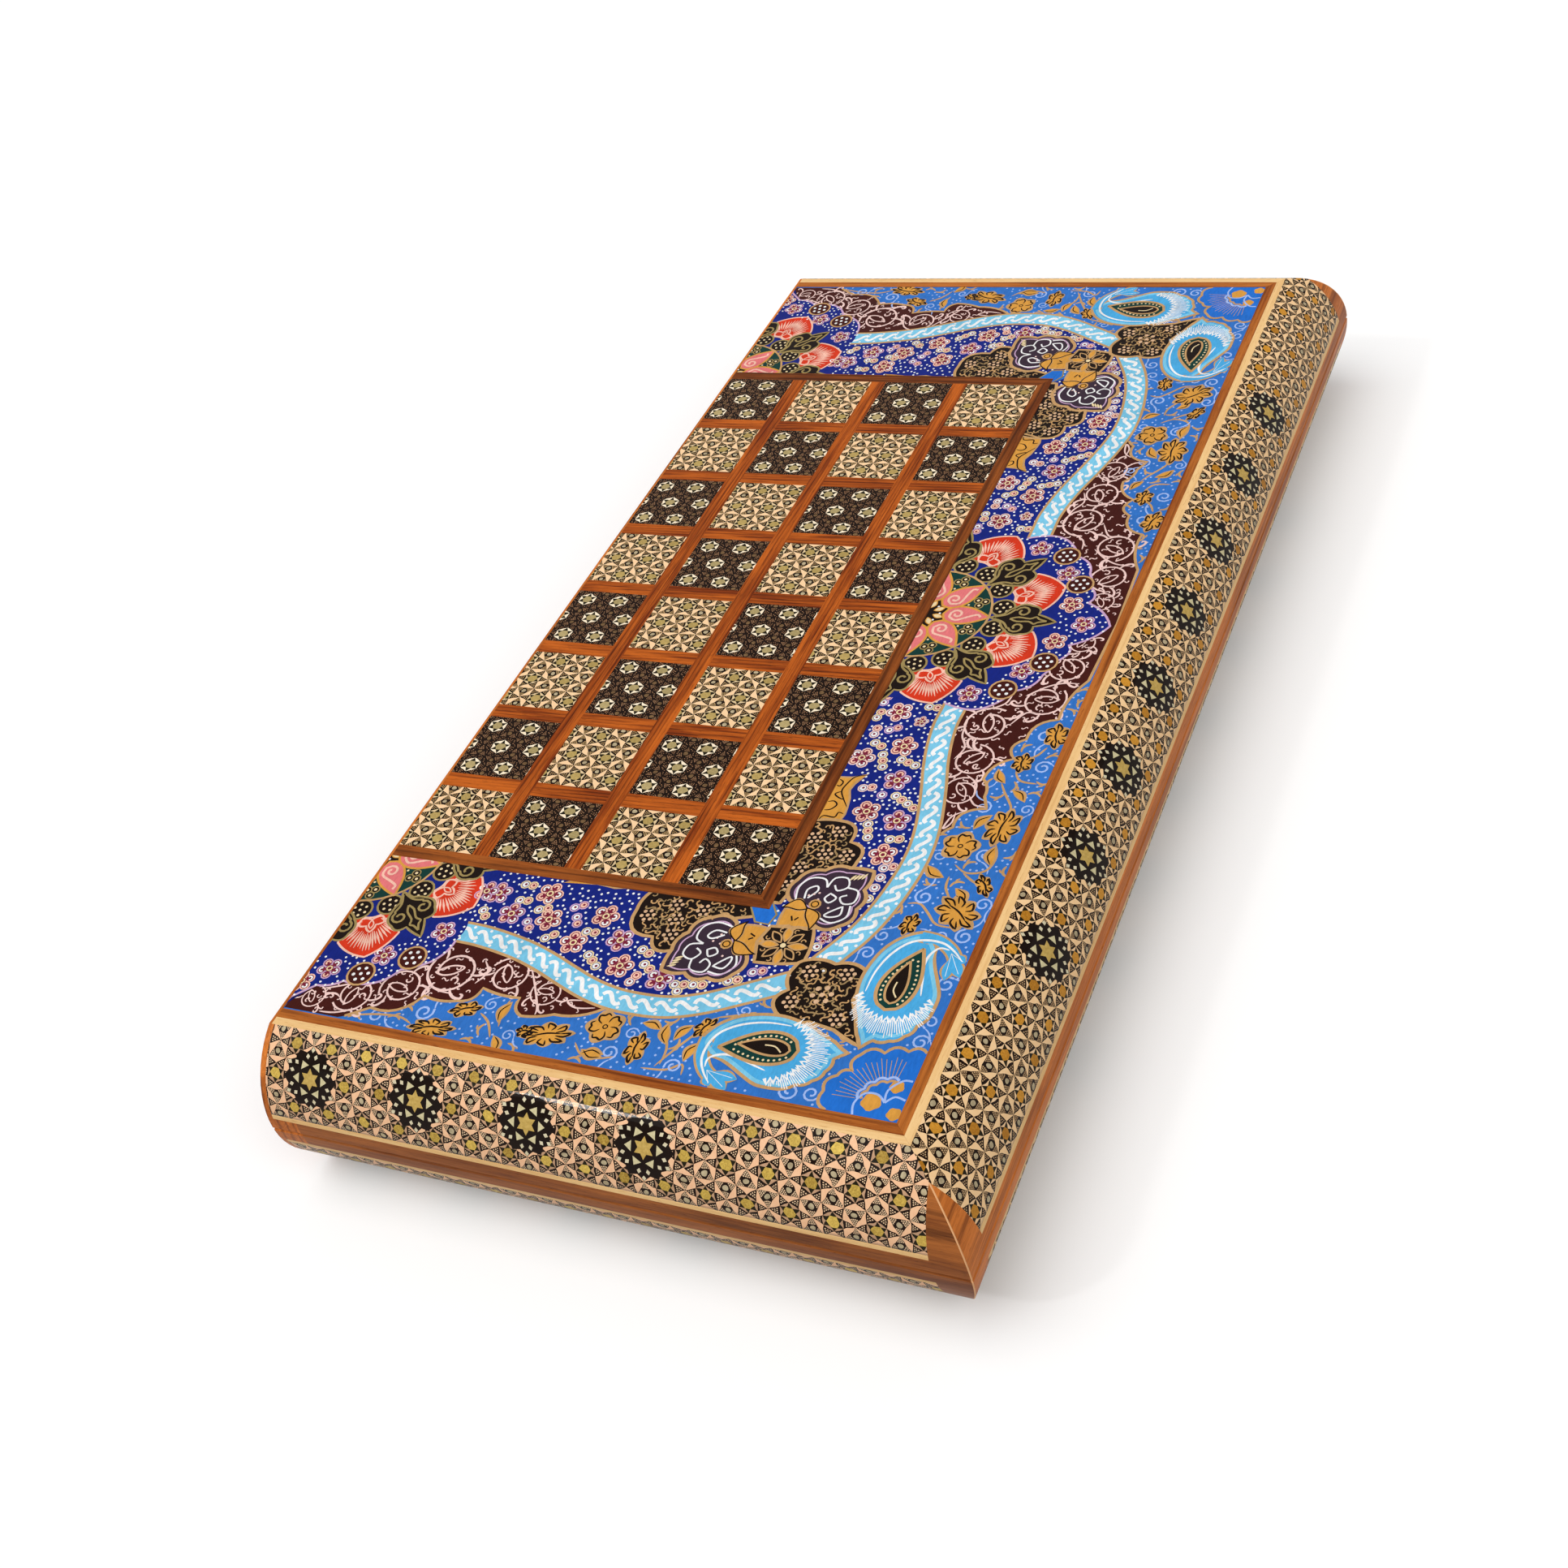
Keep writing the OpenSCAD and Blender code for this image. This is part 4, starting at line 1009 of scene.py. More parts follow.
def tulip(brush, level):
    """Ochre tulip at the frame's corner: two curled petals and a notched cup under a ball."""
    cup = scalloped([(31.2, -152), (36.4, -150.8), (42, -154), (42.6, -159.4), (38.6, -158.6),
                     (37.4, -160.4), (35.4, -158.6), (31.4, -159.4)], 0.04, 3)
    brush.shape(cup, "ochre", "tan", 0.9, level, (36.6, -155))
    for base, tip, bend in (((29.8, -151.8), (38.6, -150.8), 0.2),
                            ((42.6, -159.8), (38.4, -150.4), -0.16)):
        brush.leaf(base, tip, 5.6, "tan", level + 2, bend=bend, belly=0.6)
        brush.leaf(base, tip, 4.4, "ochre", level + 3, "black", 0.5, bend=bend, belly=0.6)
    brush.stroke([(34.6, -154.6), (35.6, -156.6)], 0.6, "black", level + 2)
    brush.stroke([(37.2, -154.8), (36.2, -156.2)], 0.6, "black", level + 2)
    brush.disc(40.4, -148.4, 2.2, "tan", level + 3, 10)
    brush.disc(40.4, -148.4, 1.7, "ochre", level + 4, 10)
    brush.ring(40.4, -148.4, 1.25, 0.45, "black", level + 5, 10)


def star(brush, level):
    """Blue star on the corner of the frame, with an olive line round it."""
    outline = np.array([(19.4, -153.2), (26, -153.2), (26, -150.4), (29.4, -155), (28.4, -159.5),
                        (23.4, -159.2), (19.4, -153.2)])
    brush.fill(outline, "lotus", level, (25.8, -155.8))
    brush.stroke(outline[2:], 0.7, "olive", level + 1)


def flower_patch(brush, level):
    """Black patch between the cartouches with an eight petalled ochre flower."""
    outline = scalloped([(29.6, -160), (44.2, -158.4), (46.4, -171.6), (44.4, -173.4), (30.2, -175.4),
                         (27.6, -167)], [0.0, 0.06, 0.0, 0.03, 0.0, 0.0])
    brush.shape(outline, "black", "tan", 1.2, level, (37, -167))
    centre = (36.9, -167.1)
    for k in range(8):
        petal = brush.at(*centre, 45 * k + 3)
        reach, colour = (7.6, "black") if k % 2 else (8.4, "ochre")
        petal.leaf((1.6, 0), (reach, 0), 2.7, colour, level + 2, "tan", 0.55)
    brush.disc(*centre, 1.0, "cream", level + 3, 8)
    for k in range(8):
        curl = brush.at(*(centre + 6.6 * way(45 * k + 24)), 45 * k)
        curl.stroke(spiral(0.9, 0.6, 0, 0.7, steps=10), 0.4, "tan", level + 2)


def corner_lotus(brush, level):
    """Blue lotus in the outermost corner, with tan feather lines and ochre beads."""
    lobes = scalloped([(BORDER_X, -199.0), (92.4, -199.6), (85.4, -201.6), (78.4, -203.6), (78.2, -210),
                       (74.2, -212.4), (72.2, -218.6), (75.4, -BORDER_Y)], 0.26, 5, False)
    outline = np.vstack([lobes, [(BORDER_X, -BORDER_Y), (BORDER_X, -199.0)]])
    brush.fill(outline, "lotus", level, (90, -215))
    brush.stroke(outline[:-2], 1.1, "tan", level + 1)
    heart = (92, -219)
    for k, degrees in enumerate(np.arange(86, 186, 5.6)):
        feather = np.array([[9.4], [15.6 + 0.6 * (k % 3)]]) * way(degrees)
        brush.stroke(heart + feather, 1.0, "tan", level + 2, taper=True)
    for radius, colour in ((8.6, "pale sky"), (7.4, "tan")):
        hood = heart + radius * way([80, 105, 130, 155, 180])
        brush.stroke(scalloped(hood, 0.28, 5, False), 0.9, colour, level + 2)
    for x, y, radius in ((88, -219.6, 2.9), (93.6, -212.8, 2.1), (96.2, -222.4, 2.1)):
        bead = (x, y) + radius * way([20, 92, 164, 236, 308])
        brush.fill(scalloped(bead, 0.3, 3), "ochre", level + 2)
    for points in ([(84, -225), (83, -221), (85, -217), (89, -216.6), (92, -219)],
                   [(92, -219), (91.4, -214.6), (94.6, -210.4), (97.6, -210)],
                   [(92, -219), (94.4, -216.4), (97.8, -217)]):
        brush.stroke(curve(points, 4), 0.7, "pale sky", level + 3)
    brush.keep(15, 88, -213)
    brush.keep(9, 95, -206)
    brush.keep(9, 80, -220)


def border_quarter(sheet, taken, matrix, seed):
    """A quarter of the border: the half of a short end and the half of the long side that meet
    in one corner. The last number in a call is most often the level of the work's first film.

    What is painted across is the near work, mirrored at the corner's mitre."""
    rng = np.random.default_rng(seed)
    near = Brush(sheet, taken, matrix)
    across = Brush(sheet, taken, matrix @ np.array([[0, -1, -MITRE], [-1, 0, -MITRE], [0, 0, 1]]))

    side_middle = [(54, -46), (53.9, -52), (53.8, -60), (55.2, -70), (57.5, -80), (60.5, -90),
                   (63.2, -100), (65.4, -110), (66.5, -120), (66.2, -130), (64.8, -140), (62.6, -150),
                   (58.9, -160), (51.4, -174)]
    near_middle = [(-79.5, -181.8), (-70, -182.2), (-60, -183.6), (-50, -185.7), (-40, -188.9),
                   (-30, -192.8), (-20, -196.4), (-10, -198.6), (0, -199.1), (10, -198.3), (20, -195),
                   (30, -189.8), (46, -180.6)]

    # Ochre work, tendrils and dots of the outer ground
    leaves = [(90, -105, 84, 16, 11), (88, -143.6, -40, 16, 12), (-25, -216.6, 14, 17, 9),
              (94.5, -60, 100, 12, 8), (-66, -222, 8, 16, 7), (87, -74.5, 90, 9, 7),
              (7, -215.6, 90, 12, 7), (74.5, -151, 80, 9, 6), (25.8, -203.6, 60, 9, 6),
              (-58, -212.6, 20, 11, 6), (-33, -217, 0, 6, 5), (92.5, -131, -60, 10, 5)]
    for x, y, turn, length, width in leaves:
        ochre_leaf(near.at(x, y, turn), 3, length, width, 8 if length > 13 else 6)
    for x, y in ((79, -115.4), (-7, -209.8)):
        ochre_flower(near.at(x, y, rng.uniform(0, 72)), 3)
    for x, y, turn in ((84, -84.5, 125), (88, -88, -40), (81, -107, 60), (92, -122, 100),
                       (78, -129.5, 150), (84, -134, -50), (16, -212, 110), (18, -210, 60),
                       (5, -206, -10), (24.6, -217, 75), (-3, -221, 170), (-44, -215, 85),
                       (-42.6, -221, -60), (-10, -221.6, 10)):
        ochre_bud(near.at(x, y, turn), 3, rng.uniform(6, 8))
    for points in ([(83, -85), (85.4, -89), (89.6, -95), (90, -98)],
                   [(90, -112), (92.4, -118), (91, -124.6), (85, -126.6), (80, -123.6)],
                   [(84, -126.8), (88, -129.6), (93, -132)], [(80, -129), (80.6, -134), (84, -139)],
                   [(70.6, -142.6), (74.6, -142), (78.6, -145.4), (83, -149.6), (90, -150)],
                   [(86, -79), (89, -83), (95, -83.6)], [(93, -66), (91, -70), (88.6, -72)],
                   [(-100, -223.8), (-90, -221), (-80, -220), (-74, -222)],
                   [(-52, -213), (-47.4, -216), (-43.6, -221.6)],
                   [(-44.4, -206), (-44.6, -211), (-43, -217)],
                   [(-14, -217.6), (-10, -221.4), (-4, -222), (2, -220)],
                   [(16, -221), (20, -213), (24, -206), (28.6, -199)],
                   [(17.4, -220), (17, -214), (13.6, -208), (9, -206)],
                   [(28, -199), (34, -197), (39.6, -194.6)],
                   [(26, -222.4), (24.6, -218.6), (20, -221.6), (12, -222.4)]):
        twig(near, points, 2)
    for x, y, radius, start, hand in (
            (67.5, -157, 2.8, 90, 1), (65.2, -165, 2.9, 200, -1), (93.5, -153, 3.2, 100, 1),
            (94.6, -172.6, 3.2, 60, 1), (95, -187.6, 2.8, 250, -1), (94.6, -195.6, 3.0, 20, 1),
            (50, -218, 3.2, 150, 1), (62, -221, 3.3, 170, 1), (69, -220.4, 3.0, 10, -1),
            (22, -219.8, 3.0, 200, -1), (94.6, -75.8, 3.2, 40, 1), (88.4, -118, 3.0, 260, -1),
            (75, -139, 3.3, 120, 1), (90.5, -61, 3.4, 300, 1), (-72, -216.4, 3.6, 30, -1),
            (-88, -221.2, 3.2, 10, 1), (35.6, -194.8, 2.4, 200, 1), (56, -219, 2.4, 20, -1),
            (95, -139, 3.0, 330, 1), (-1, -219, 3.0, 300, 1), (80.6, -97, 3.0, 90, -1),
            (95.4, -96, 2.6, 300, 1), (73.6, -120.6, 2.6, 120, -1), (-38, -219.6, 2.4, 0, 1),
            (86, -154, 2.6, 200, 1), (3, -210.6, 2.4, 30, 1), (-50, -209, 2.6, 100, 1),
            (77, -91, 2.6, 90, 1)):
        sky_spiral(near, x, y, radius, start, hand, 2)

    # Maroon panels outside the straps
    side_panel = scalloped([(98.2, 0), (97.0, -31), (92.6, -52), (84.6, -63), (83.4, -73), (76.2, -84),
                            (79.4, -92), (82, -97.6), (74.6, -101), (73.6, -107.6), (70.6, -112)],
                           [0.0, 0.08, 0.22, 0.3, 0.16, -0.12, 0.0, 0.1, 0.1, 0.1], 6, False)[:-1]
    strap_side = curve([(70.0, -112), (66.6, -100), (63.6, -90), (60.6, -80), (58.4, -70), (57.6, -60),
                        (57.6, -52), (64, -36), (74, -22), (84, -12), (90, 0)])
    near.lay(paced(side_panel), paced(strap_side[::-1]), "maroon", 2)
    near.stroke(side_panel, 1.1, "tan", 4)
    near_panel = scalloped([(-10.6, -203), (-26.6, -208.6), (-37.6, -211.4), (-41.6, -204.6),
                            (-56.6, -203.2), (-63, -210), (-75.6, -210.2), (-92, -218.6),
                            (-101, -224.6), (-123.6, -224.6)],
                           [-0.1, -0.05, -0.2, -0.05, -0.24, -0.08, -0.2, 0.0, 0.0], 6, False)
    strap_near = curve([(-11, -203), (-20, -200.4), (-30, -197), (-40, -193), (-50, -189.8),
                        (-60, -187.8), (-70, -186.6), (-80, -187), (-92, -196), (-106, -204),
                        (-123.6, -210)])
    near.lay(paced(near_panel), paced(strap_near), "maroon", 2)
    near.stroke(near_panel[:-7], 1.1, "tan", 4)
    for x, y, radius, start, hand in (
            (88, -25.4, 7.2, 90, 1), (84.4, -43, 7.6, 60, -1), (68.6, -58, 8.4, 80, 1),
            (69.4, -75.6, 7.2, 100, -1), (70.6, -91, 6.4, 80, 1), (88.6, -12, 5.0, 100, -1)):
        scroll(near, x, y, radius, start + rng.uniform(-20, 20), hand, 3)
    for x, y, radius, start, hand in (
            (-71, -198.4, 8.8, 180, 1), (-50.4, -196.4, 7.2, 160, -1), (-86, -208.4, 7.2, 200, -1),
            (-101.4, -214.6, 6.8, 200, 1), (-33.4, -200.6, 5.6, 150, 1), (-116, -218.6, 5.0, 180, -1)):
        scroll(near, x, y, radius, start + rng.uniform(-20, 20), hand, 3)
    for points in ([(74.6, -100), (71.4, -103), (70.4, -108.6), (72.4, -105.6), (72.2, -100.6)],
                   [(82, -96.6), (77.4, -96.4), (74, -92.4)],
                   [(61, -56), (61.6, -64), (64.6, -70), (62.8, -76)],
                   [(76.4, -57), (80.4, -50), (84.6, -50.6)], [(70, -83), (74.6, -86.6), (75.4, -92)],
                   [(93.6, -33), (88, -33.6), (82.6, -36.6), (77.4, -41.6)],
                   [(66, -50.4), (71.4, -46.4), (72.6, -41)],
                   [(-14, -203.4), (-20.6, -204.6), (-24.6, -202.4), (-18.6, -201.2)],
                   [(-62, -192), (-58.6, -196.6), (-60.6, -202)],
                   [(-44, -192), (-39.6, -198), (-34, -206.6), (-33, -210)],
                   [(-79.6, -201.6), (-74, -206.6), (-66, -207.6)],
                   [(-94, -208.6), (-98, -207.4), (-109, -212.4), (-114.6, -214.6)],
                   [(-110, -223.6), (-104, -223), (-96.6, -220)]):
        near.stroke(curve(points, 5), 0.7, "rose", 3, taper=True)
    for outer, inner in ((side_panel, strap_side[::-1]), (near_panel, strap_near)):
        outline = np.vstack([paced(outer), paced(inner)[::-1]])
        middle = outline.mean(0)
        curls(near, (outline - middle) * 0.95 + middle, 3.4, 3, rng, ("rose",), 1.1, 0.45)

    # Navy fields between the straps and the frame
    side_field = np.vstack([[(FRAME_X, -40), (FRAME_X, -158), (46, -172)],
                            curve(side_middle, 3)[::-1][:-3]])
    near_field = np.vstack([[(-84, -FRAME_Y), (FRAME_X, -FRAME_Y), (46, -174)],
                            curve(near_middle, 3)[::-1]])
    side_edge = [(FRAME_X, -40), (FRAME_X, -90), (FRAME_X, -150), (38, -160), (46, -171.8)]
    near_edge = [(-84, -FRAME_Y), (-40, -FRAME_Y), (20, -FRAME_Y), (36, -164), (44, -178)]
    for edge, middle in ((side_edge, side_middle), (near_edge, near_middle)):
        near.lay(paced(np.array(edge)), paced(curve(middle)), "navy", 1)
    for middle in (side_middle, near_middle):
        strap(near, middle, 4)
    for x, y, line in ((35, -55.6, "rose"), (43, -72.4, "blush"), (30, -80, "rose"),
                       (46.6, -89, "lilac"), (41.6, -105, "blush"), (53.6, -107.6, "lilac"),
                       (54.6, -123.4, "blush"), (-73, -163, "lilac"), (-63.6, -171, "lilac"),
                       (-54, -160, "blush"), (-48.6, -171, "blush"), (-29, -166, "blush"),
                       (-19, -175, "lilac"), (-35, -179, "blush"), (-14, -185.4, "blush"),
                       (2, -188, "lilac"), (49.2, -161.6, "lilac"), (44.6, -59.4, "rose")):
        radius = 2.8 if (x, y) in ((49.2, -161.6), (44.6, -59.4)) else 5.0
        blossom(near.at(x, y, rng.uniform(0, 72)), 2, line, radius)
    for x, y, turn, count, line in (
            (36, -64.4, 30, 2, "lilac"), (30, -66.4, 90, 2, "rose"), (33.4, -72.8, -25, 2, "cream"),
            (38, -80.4, -70, 3, "cream"), (47.4, -80, -20, 3, "cream"), (37.6, -94, 15, 2, "rose"),
            (44, -96.6, 40, 1, "lilac"), (53, -98.6, -30, 4, "cream"), (45.4, -113.6, -70, 3, "cream"),
            (56, -116, 10, 2, "cream"), (58.6, -128.6, 20, 2, "rose"), (57.6, -133.4, 90, 1, "rose"),
            (57.4, -138, 90, 1, "rose"), (57, -143, 90, 1, "cream"), (46.4, -51.6, 0, 2, "cream"),
            (27.6, -50, 80, 2, "lilac"), (51.6, -158, 0, 1, "cream"), (48, -165.6, 0, 1, "cream"),
            (28, -58, 80, 2, "cream"), (-63.6, -157.6, 0, 2, "cream"), (-62, -164.6, 5, 2, "cream"),
            (-73.6, -172.6, -50, 2, "cream"), (-53, -167, 20, 2, "cream"),
            (-55, -174.6, -50, 2, "lilac"), (-44.6, -178, 40, 2, "cream"),
            (-40.6, -163.6, 30, 2, "lilac"), (-38.4, -169.6, -60, 2, "lilac"),
            (-31, -173.6, 0, 2, "cream"), (-24.6, -185, -40, 3, "cream"), (-8, -178, -20, 2, "cream"),
            (-4.6, -184, -30, 2, "cream"), (-7, -189.6, 70, 2, "blush"), (12.6, -188.4, 10, 4, "cream"),
            (26.4, -184, 20, 2, "cream"), (33, -179, 20, 2, "lilac"), (10, -191.6, 0, 1, "cream")):
        buds(near.at(x, y, turn), 2, count, line)

    # Work against the frame
    side_cartouche = scalloped([(24.5, -112), (34, -110.6), (41.6, -119.6), (47.2, -128), (43, -133.4),
                                (31.6, -137), (28.4, -150), (24.5, -150)],
                               [0.05, 0.3, 0.3, 0.2, 0.0, 0.0, 0.0, 0.0])
    near_cartouche = scalloped([(-17.6, -152), (-19.6, -161), (-8.6, -171.6), (0.4, -176),
                                (1.4, -168.6), (11.6, -160.4), (22, -157), (22, -152)],
                               [0.1, 0.3, 0.3, 0.0, 0.0, 0.0, 0.0, 0.0])
    side_clusters = [(36, -115.6), (28.4, -119.6), (42.6, -125.8), (35, -126.4), (28.6, -133.6),
                     (28, -142)]
    near_clusters = [(-14.6, -163), (-3, -169.6), (-6.6, -157), (4, -157.6), (-4, -163)]
    cartouche(near, 4, side_cartouche, side_clusters, rng, (32, -124))
    cartouche(near, 4, near_cartouche, near_clusters, rng, (0, -160))
    for x, y, r in ((33, -118, 9), (42, -126, 6), (30, -134, 8), (-14, -162, 7), (-4, -164, 10),
                    (10, -157, 8)):
        near.keep(r, x, y)
    ochre_cluster(near, 3)
    ochre_cluster(across.at(-8, 12.4), 3)
    for brush in (near, across.at(2.6, 3.5)):
        cloud(brush, 6)
        tulip(brush, 8)
    flower_patch(near, 7)
    star(near, 8)

    # Corner
    corner = scalloped([(45, -172.4), (57, -171.2), (68.4, -172.6), (68, -184), (72, -191.4),
                        (76.6, -200.8), (66.4, -196.4), (57.6, -195), (45.6, -193.4), (46, -184),
                        (43.6, -177)], [0.12, 0.16, 0.02, 0.0, 0.0, 0.02, 0.0, 0.16, 0.3, 0.1, 0.0])
    cartouche(near, 6, corner, ((50, -175.6), (62.6, -174.6), (48.6, -188.6), (66, -192.4)), rng,
              (57.5, -184))
    seven_dots(near, 57.5, -184, 3.0, 0.95, "bead", 9)
    for brush in (near, across):
        boteh(brush, 7, rng)
    corner_lotus(near, 4)
    near.keep(13, 57.5, -184)

    # Dots and sprigs on what is still bare
    for field in (side_field, near_field):
        near.dots(sprinkle(near, field, 1.75, rng, 0.55), 0.5, "white", 2)
    outer_side = np.vstack([[(97.6, -34), (97.6, -226)], [(70, -198), (66, -160)],
                            curve(side_middle, 3)[::-1][4:-12] + (4.6, 0)])
    outer_near = np.vstack([[(-100, -224.4), (97.6, -224.4), (70, -198)],
                            curve(near_middle, 3)[::-1][:-14] - (0, 4.6)])
    panels = [np.vstack([side_panel, strap_side]), np.vstack([near_panel, strap_near[::-1]])]
    for field in (outer_side, outer_near):
        for gap, margin in ((5.0, 2.3), (1.9, 0.5)):
            spots = sprinkle(near, field, gap, rng, margin)
            for panel in panels:
                spots = spots[~inside(spots, panel)]
            if gap < 2:
                near.dots(spots, 0.46, "pale sky", 1)
                continue
            for x, y in spots:
                sprig = near.at(x, y, rng.uniform(0, 360))
                stem = curve([(-2.5, -1.0), (-1.0, 0.4), (0.8, 0.5), (2.5, -0.6)], 3)
                twiglet = curve([(-0.6, 0.4), (0.2, 1.4), (1.3, 1.7)], 3)
                sprig.stroke(stem, 1.0, "tan", 1, taper=True)
                sprig.stroke(twiglet, 0.7, "tan", 1, taper=True)
                near.keep(1.7, x, y)


def border_sheet():
    """The whole border: two quarters and three rosettes, from the hinge side round to it."""
    sheet, taken = [], []
    lobe = np.array([(0, -47), (24.4, -47.4), (33, -49.6), (41.4, -46.6), (47.6, -38), (54.8, -28.6),
                     (57.6, -20.6), (60.2, -17), (59, -12)])
    bow = [0, 0.04, 0.1, 0.05, 0.16, 0.05, 0.05, 0.16, 0.1]
    lobes = scalloped(np.vstack([lobe, [(70.8, 0)], lobe[::-1] * (1, -1)]), bow + bow[::-1] + [0])
    blossoms = [(61, 0, "lilac"), (53.4, 10.4, "blush"), (53.4, -10.4, "blush"), (46.6, 27.6, "lilac"),
                (46.6, -27.6, "lilac"), (31.6, 41.6, "lilac"), (31.6, -41.6, "lilac")]
    rosette(Brush(sheet, taken, np.eye(3)).at(25.2, -1.5), 7, np.random.default_rng(5), range(-2, 3), 0,
            blossoms, [(53, 22), (53, -22), (43, 38), (43, -38)], lobes, 17)
    lobes = scalloped([(0, 0), (0, -72), (9.6, -62.6), (18.6, -59), (28, -58.6), (36.6, -50.6),
                       (46, -45), (49.6, -35), (48.6, -24), (46, 0)],
                      [0, 0, 0.1, 0.06, 0.12, 0.05, 0.1, 0.12, 0, 0])
    blossoms = [(43, -32, "lilac"), (27, -46, "lilac"), (10, -55, "lilac"), (49, -12, "lilac"),
                (3, -62, "blush")]
    for flip in (1, -1):
        mirror = np.diag([1.0, flip, 1.0])
        rosette(Brush(sheet, taken, mirror).at(-127, -151), 7, np.random.default_rng(9 + flip),
                range(-2, 1), -8, blossoms, [(38, -45), (23, -55)], lobes, 7)
        border_quarter(sheet, taken, mirror, 31 + flip)
    return sheet


LEVELS = 20            # films from the bare face to the highest paint
EMPTY = 0.002          # twice the area under which a triangle is dropped, in square mm


def painted_board(half, sheet):
    """The board's U-shaped prism, and each painted shape on it as a film of its own.

    A point of a shape is held inside the board's outline, and moved out of the field's opening to
    the nearer edge. Films lie above each other by their level, and triangles without area are
    dropped. Every shape's points carry its colour."""
    low, high = [np.array(corner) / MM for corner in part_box(f"{half}_painted_border")]
    face, back, sign = (high[2], low[2], 1) if half == "upper" else (low[2], high[2], -1)
    corners = np.array([(WORK_X, -BORDER_Y), (BORDER_X, -BORDER_Y), (BORDER_X, BORDER_Y),
                        (WORK_X, BORDER_Y), (WORK_X, FRAME_Y), (FRAME_X, FRAME_Y), (FRAME_X, -FRAME_Y),
                        (WORK_X, -FRAME_Y)])
    ring = len(corners)
    points = [np.column_stack([corners, np.full(ring, face - sign * FILM * LEVELS)]),
              np.column_stack([corners, np.full(ring, back)])]
    flat = np.array([(0, 1, 6), (0, 6, 7), (1, 2, 5), (1, 5, 6), (2, 3, 4), (2, 4, 5)])
    turn = np.arange(ring)
    sides = np.vstack([np.stack([turn, turn + ring, np.roll(turn, -1)], -1),
                       np.stack([np.roll(turn, -1), turn + ring, np.roll(turn, -1) + ring], -1)])
    triangles = [flat, flat[:, ::-1] + ring, sides]
    colours = [np.tile(linear(PAINT["sky"]), (2 * ring, 1))]
    count = 2 * ring
    for order, (shape, faces, colour, level) in enumerate(sheet):
        x = np.clip(shape[:, 0], WORK_X, BORDER_X)
        y = np.clip(shape[:, 1], -BORDER_Y, BORDER_Y)
        opening = (x < FRAME_X) & (np.abs(y) < FRAME_Y)
        sideways = opening & (FRAME_X - x < FRAME_Y - np.abs(y))
        x = np.where(sideways, FRAME_X, x)
        y = np.where(opening & ~sideways, np.where(y < 0, -FRAME_Y, FRAME_Y), y)
        ramp = 0.09 * np.linspace(0, 1, len(x))
        depth = face - sign * FILM * (LEVELS - 1 - level - (order % 8) / 10 - ramp)
        corner = np.stack([x[faces], y[faces]], -1)
        first, second = corner[:, 1] - corner[:, 0], corner[:, 2] - corner[:, 0]
        area = first[:, 0] * second[:, 1] - first[:, 1] * second[:, 0]
        faces = np.where(area[:, None] < 0, faces[:, ::-1], faces)[np.abs(area) > EMPTY]
        points.append(np.column_stack([x, y, depth]))
        triangles.append(faces + count)
        colours.append(np.tile(linear(PAINT[colour]), (len(x), 1)))
        count += len(x)
    points, triangles, colours = np.vstack(points), np.vstack(triangles), np.vstack(colours)
    if sign < 0:
        triangles = triangles[:, ::-1]
    used = np.unique(triangles)
    renumbered = np.zeros(count, int)
    renumbered[used] = np.arange(len(used))
    mesh = bpy.data.meshes.new(f"{half}_painted_board")
    mesh.from_pydata((points[used] * MM).tolist(), [], renumbered[triangles].tolist())
    layer = mesh.color_attributes.new("paint", "FLOAT_COLOR", "POINT")
    layer.data.foreach_set("color", colours[used].ravel())
    board = bpy.data.objects.new(f"{half}_painted_board", mesh)
    bpy.context.scene.collection.objects.link(board)
    return board


border_paint, tree, shader = lacquered("Gouache under lacquer")
laid = add(tree, "Attribute", attribute_name="paint")
place = object_mm(tree)
wash = add(tree, "TexNoise", {"Vector": place, "Scale": 0.12, "Detail": 3.0})
strokes = add(tree, "Mapping", {"Vector": place, "Rotation": (0.0, 0.0, 0.6), "Scale": (1.0, 0.3, 1.0)})
strokes = add(tree, "TexNoise", {"Vector": strokes, "Scale": 1.4, "Detail": 3.0})
thin = add(tree, "Mix", {"Factor": 0.5, 2: wash, 3: strokes})
strength = add(tree, "MapRange", {"Value": thin, "From Min": 0.3, "From Max": 0.7, "To Min": 0.78,
                                  "To Max": 1.12})
feed(shader, {"Base Color": add(tree, "VectorMath", {0: laid, "Scale": strength}, operation="SCALE")})
sheet = border_sheet()
for half, body in HALVES.items():
    board = painted_board(half, sheet)
    board.data.materials.append(border_paint)
    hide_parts(f"{half}_painted_border")
    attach(board, body)

# Frame and laths of the chess field: strips of orange brown wood, each cut from another part of
# the plank, so that the figure changes from strip to strip. The frame is mitred, and the short
# cross laths are fitted between the long ones.
lath = ("#C8641E", "#84360C", "#3A1404")
dress(["field_frame"], wood("Field frame wood", "#A45822", "#6A3210", "#381806", mitre=FRAME_Y - FRAME_X))
dress(["long_laths"],
      wood("Long lath wood", *lath, lath=(PITCH, 2000.0, 0.35, 0.5), figure=7.0, slant=0.12))
dress(["cross_laths"], wood("Cross lath wood", *lath, along="X", lath=(PITCH, PITCH, 0.35, 0.35),
                            figure=7.0, slant=0.35))

# Inlay of the rim: bands of khatam let into the faces that meet when the board is shut. They are
# cut from the opening side's sheet, and seen only when the board lies open.
RIM_PITCH, RIM_ROW = 12.0, 10.4
dress(["rim_inlay"],
      khatam("Khatam rim inlay", object_mm, RIM_PITCH, RIM_ROW, *front_colours, coat=FACE_COAT))

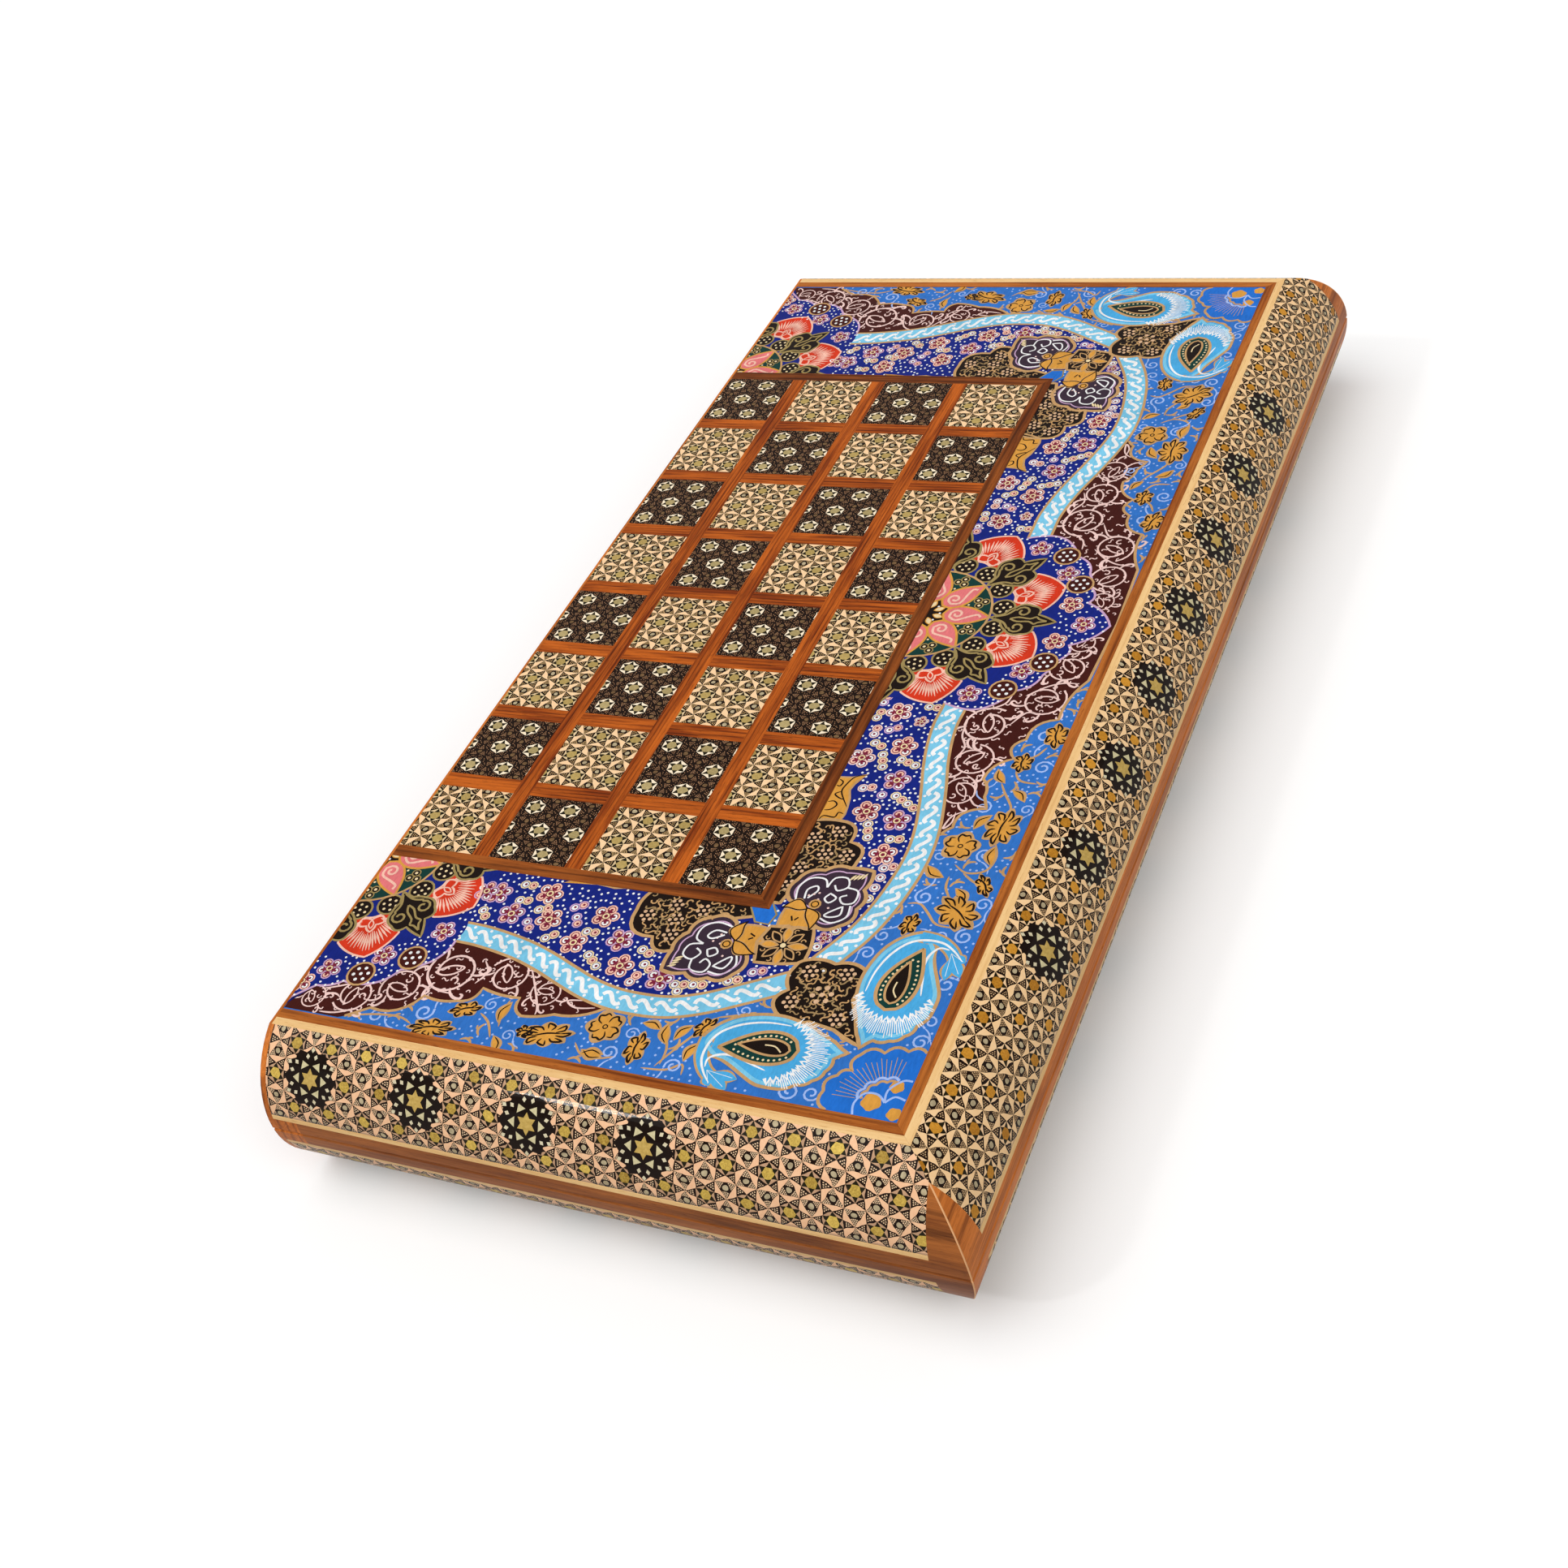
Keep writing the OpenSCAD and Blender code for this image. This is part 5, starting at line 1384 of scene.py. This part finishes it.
# Hinges: two butt hinges of rolled brass sheet, with the knuckles bent round the pins. The leaves
# lie in recesses of the hinge rails, each held by countersunk brass screws.
brass = metal("Rolled brass", 0.36, 0.35, 5.0, "#C08A34", "#F0C672")
dress(["hinge_leaves", "hinge_screws"], brass)
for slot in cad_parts["hinge_pins"].material_slots:
    slot.material = brass

# Studio: white paper that curves up into a low round wall far behind the board, and a dim grey
# room above it. Two wide lamps light the board softly, and a narrow one puts the glint on its
# near edge. The wall looks as pale as the lit paper.
PAPER, SEEN_PAPER = "#A6A29C", "#FCFCFC"      # as it lights the board, and as it is seen
GLOW_FROM, GLOW_FULL = 1200.0, 3500.0         # where the paper starts to glow by itself, in mm


def curved_paper(floor_radius=7.0, fillet=1.5, wall_top=4.1, around=96):
    """A flat disc, and a profile turned about the vertical: a quarter circle, then straight up."""
    bend = np.linspace(0, math.pi / 2, 9)
    radius = np.append(floor_radius + fillet * np.sin(bend), floor_radius + fillet)
    height = np.append(fillet * (1 - np.cos(bend)), wall_top)
    turn = np.linspace(0, 2 * math.pi, around, endpoint=False)
    points = np.stack([radius[:, None] * np.cos(turn), radius[:, None] * np.sin(turn),
                       height[:, None] + 0 * turn], -1).reshape(-1, 3)
    start = (np.arange(len(radius) - 1)[:, None] * around + np.arange(around)).ravel()
    after = (np.arange(len(radius) - 1)[:, None] * around + (np.arange(around) + 1) % around).ravel()
    wall = np.stack([after, start, start + around, after + around], -1)
    mesh = bpy.data.meshes.new("floor")
    mesh.from_pydata(points.tolist(), [], [list(range(around))] + wall.tolist())
    return mesh


floor = bpy.data.objects.new("floor", curved_paper())
bpy.context.scene.collection.objects.link(floor)
floor_finish, tree, paper = finish("Studio paper", Roughness=1.0, Specular_IOR_Level=0.0,
                                   Emission_Color="#FFFFFF", Emission_Strength=0.05)
rays = add(tree, "LightPath").outputs
seen = add(tree, "Math", {0: rays["Is Camera Ray"], 1: rays["Is Glossy Ray"]}, operation="MAXIMUM")
seen = add(tree, "Math", {0: seen, 1: rays["Is Transmission Ray"]}, operation="MAXIMUM")
feed(paper, {"Base Color": add(tree, "Mix", {"Factor": seen, 6: PAPER, 7: SEEN_PAPER}, data_type="RGBA")})
distance = add(tree, "VectorMath", {0: object_mm(tree)}, operation="LENGTH")
far_off = add(tree, "MapRange", {"Value": distance, "From Min": GLOW_FROM, "From Max": GLOW_FULL})
glows = add(tree, "Math", {0: seen, 1: far_off}, operation="MULTIPLY")
pale_wall = add(tree, "Emission", {"Strength": 0.97})
shown = add(tree, "MixShader", {0: glows, 1: paper, 2: pale_wall})
feed(tree.nodes["Material Output"], {"Surface": shown})
floor_finish.cycles.emission_sampling = "NONE"
floor.data.materials.append(floor_finish)

world = bpy.data.worlds.new("studio")
world.use_nodes = True
feed(world.node_tree.nodes["Background"], {"Color": "#FFFFFF", "Strength": 0.32})
bpy.context.scene.world = world


def lamp(name, direction, width, power):
    """A far lamp that shines from a direction, as wide as an angle in degrees."""
    light = bpy.data.lights.new(name, "SUN")
    light.angle = math.radians(width)
    light.energy = power
    made = bpy.data.objects.new(name, light)
    made.rotation_euler = Vector(direction).to_track_quat("Z", "Y").to_euler()
    bpy.context.scene.collection.objects.link(made)


lamp("lamp_left", (-0.30, -0.26, 1.0), 60.0, 1.46)
lamp("lamp_near", (0.80, -0.60, 0.95), 50.0, 1.15)
lamp("lamp_glint", (-0.50, -0.54, 0.68), 4.0, 0.24)

# Camera: held above the near corner of the opening side, turned a little about its own axis. Its
# place, aim, roll and lens were fitted to the corners that the photograph shows.
camera_place = Vector((0.3188, -0.5404, 0.5258))
camera_aim = Vector((-0.0209, -0.0315, 0.0100))
camera_roll = math.radians(17.12)
back = (camera_place - camera_aim).normalized()
level = Vector((0, 0, 1)).cross(back).normalized()
upright = back.cross(level)
right = level * math.cos(camera_roll) - upright * math.sin(camera_roll)
up = back.cross(right)
camera_data = bpy.data.cameras.new("camera")
camera_data.sensor_fit = "HORIZONTAL"
camera_data.sensor_width = 36.0
camera_data.lens = 47.58
camera_data.shift_x = -0.0199
camera_data.shift_y = -0.0166
camera = bpy.data.objects.new("camera", camera_data)
camera.matrix_world = Matrix.Translation(camera_place) @ Matrix((right, up, back)).transposed().to_4x4()
bpy.context.scene.collection.objects.link(camera)
bpy.context.scene.camera = camera
bpy.context.scene.view_settings.view_transform = "Standard"
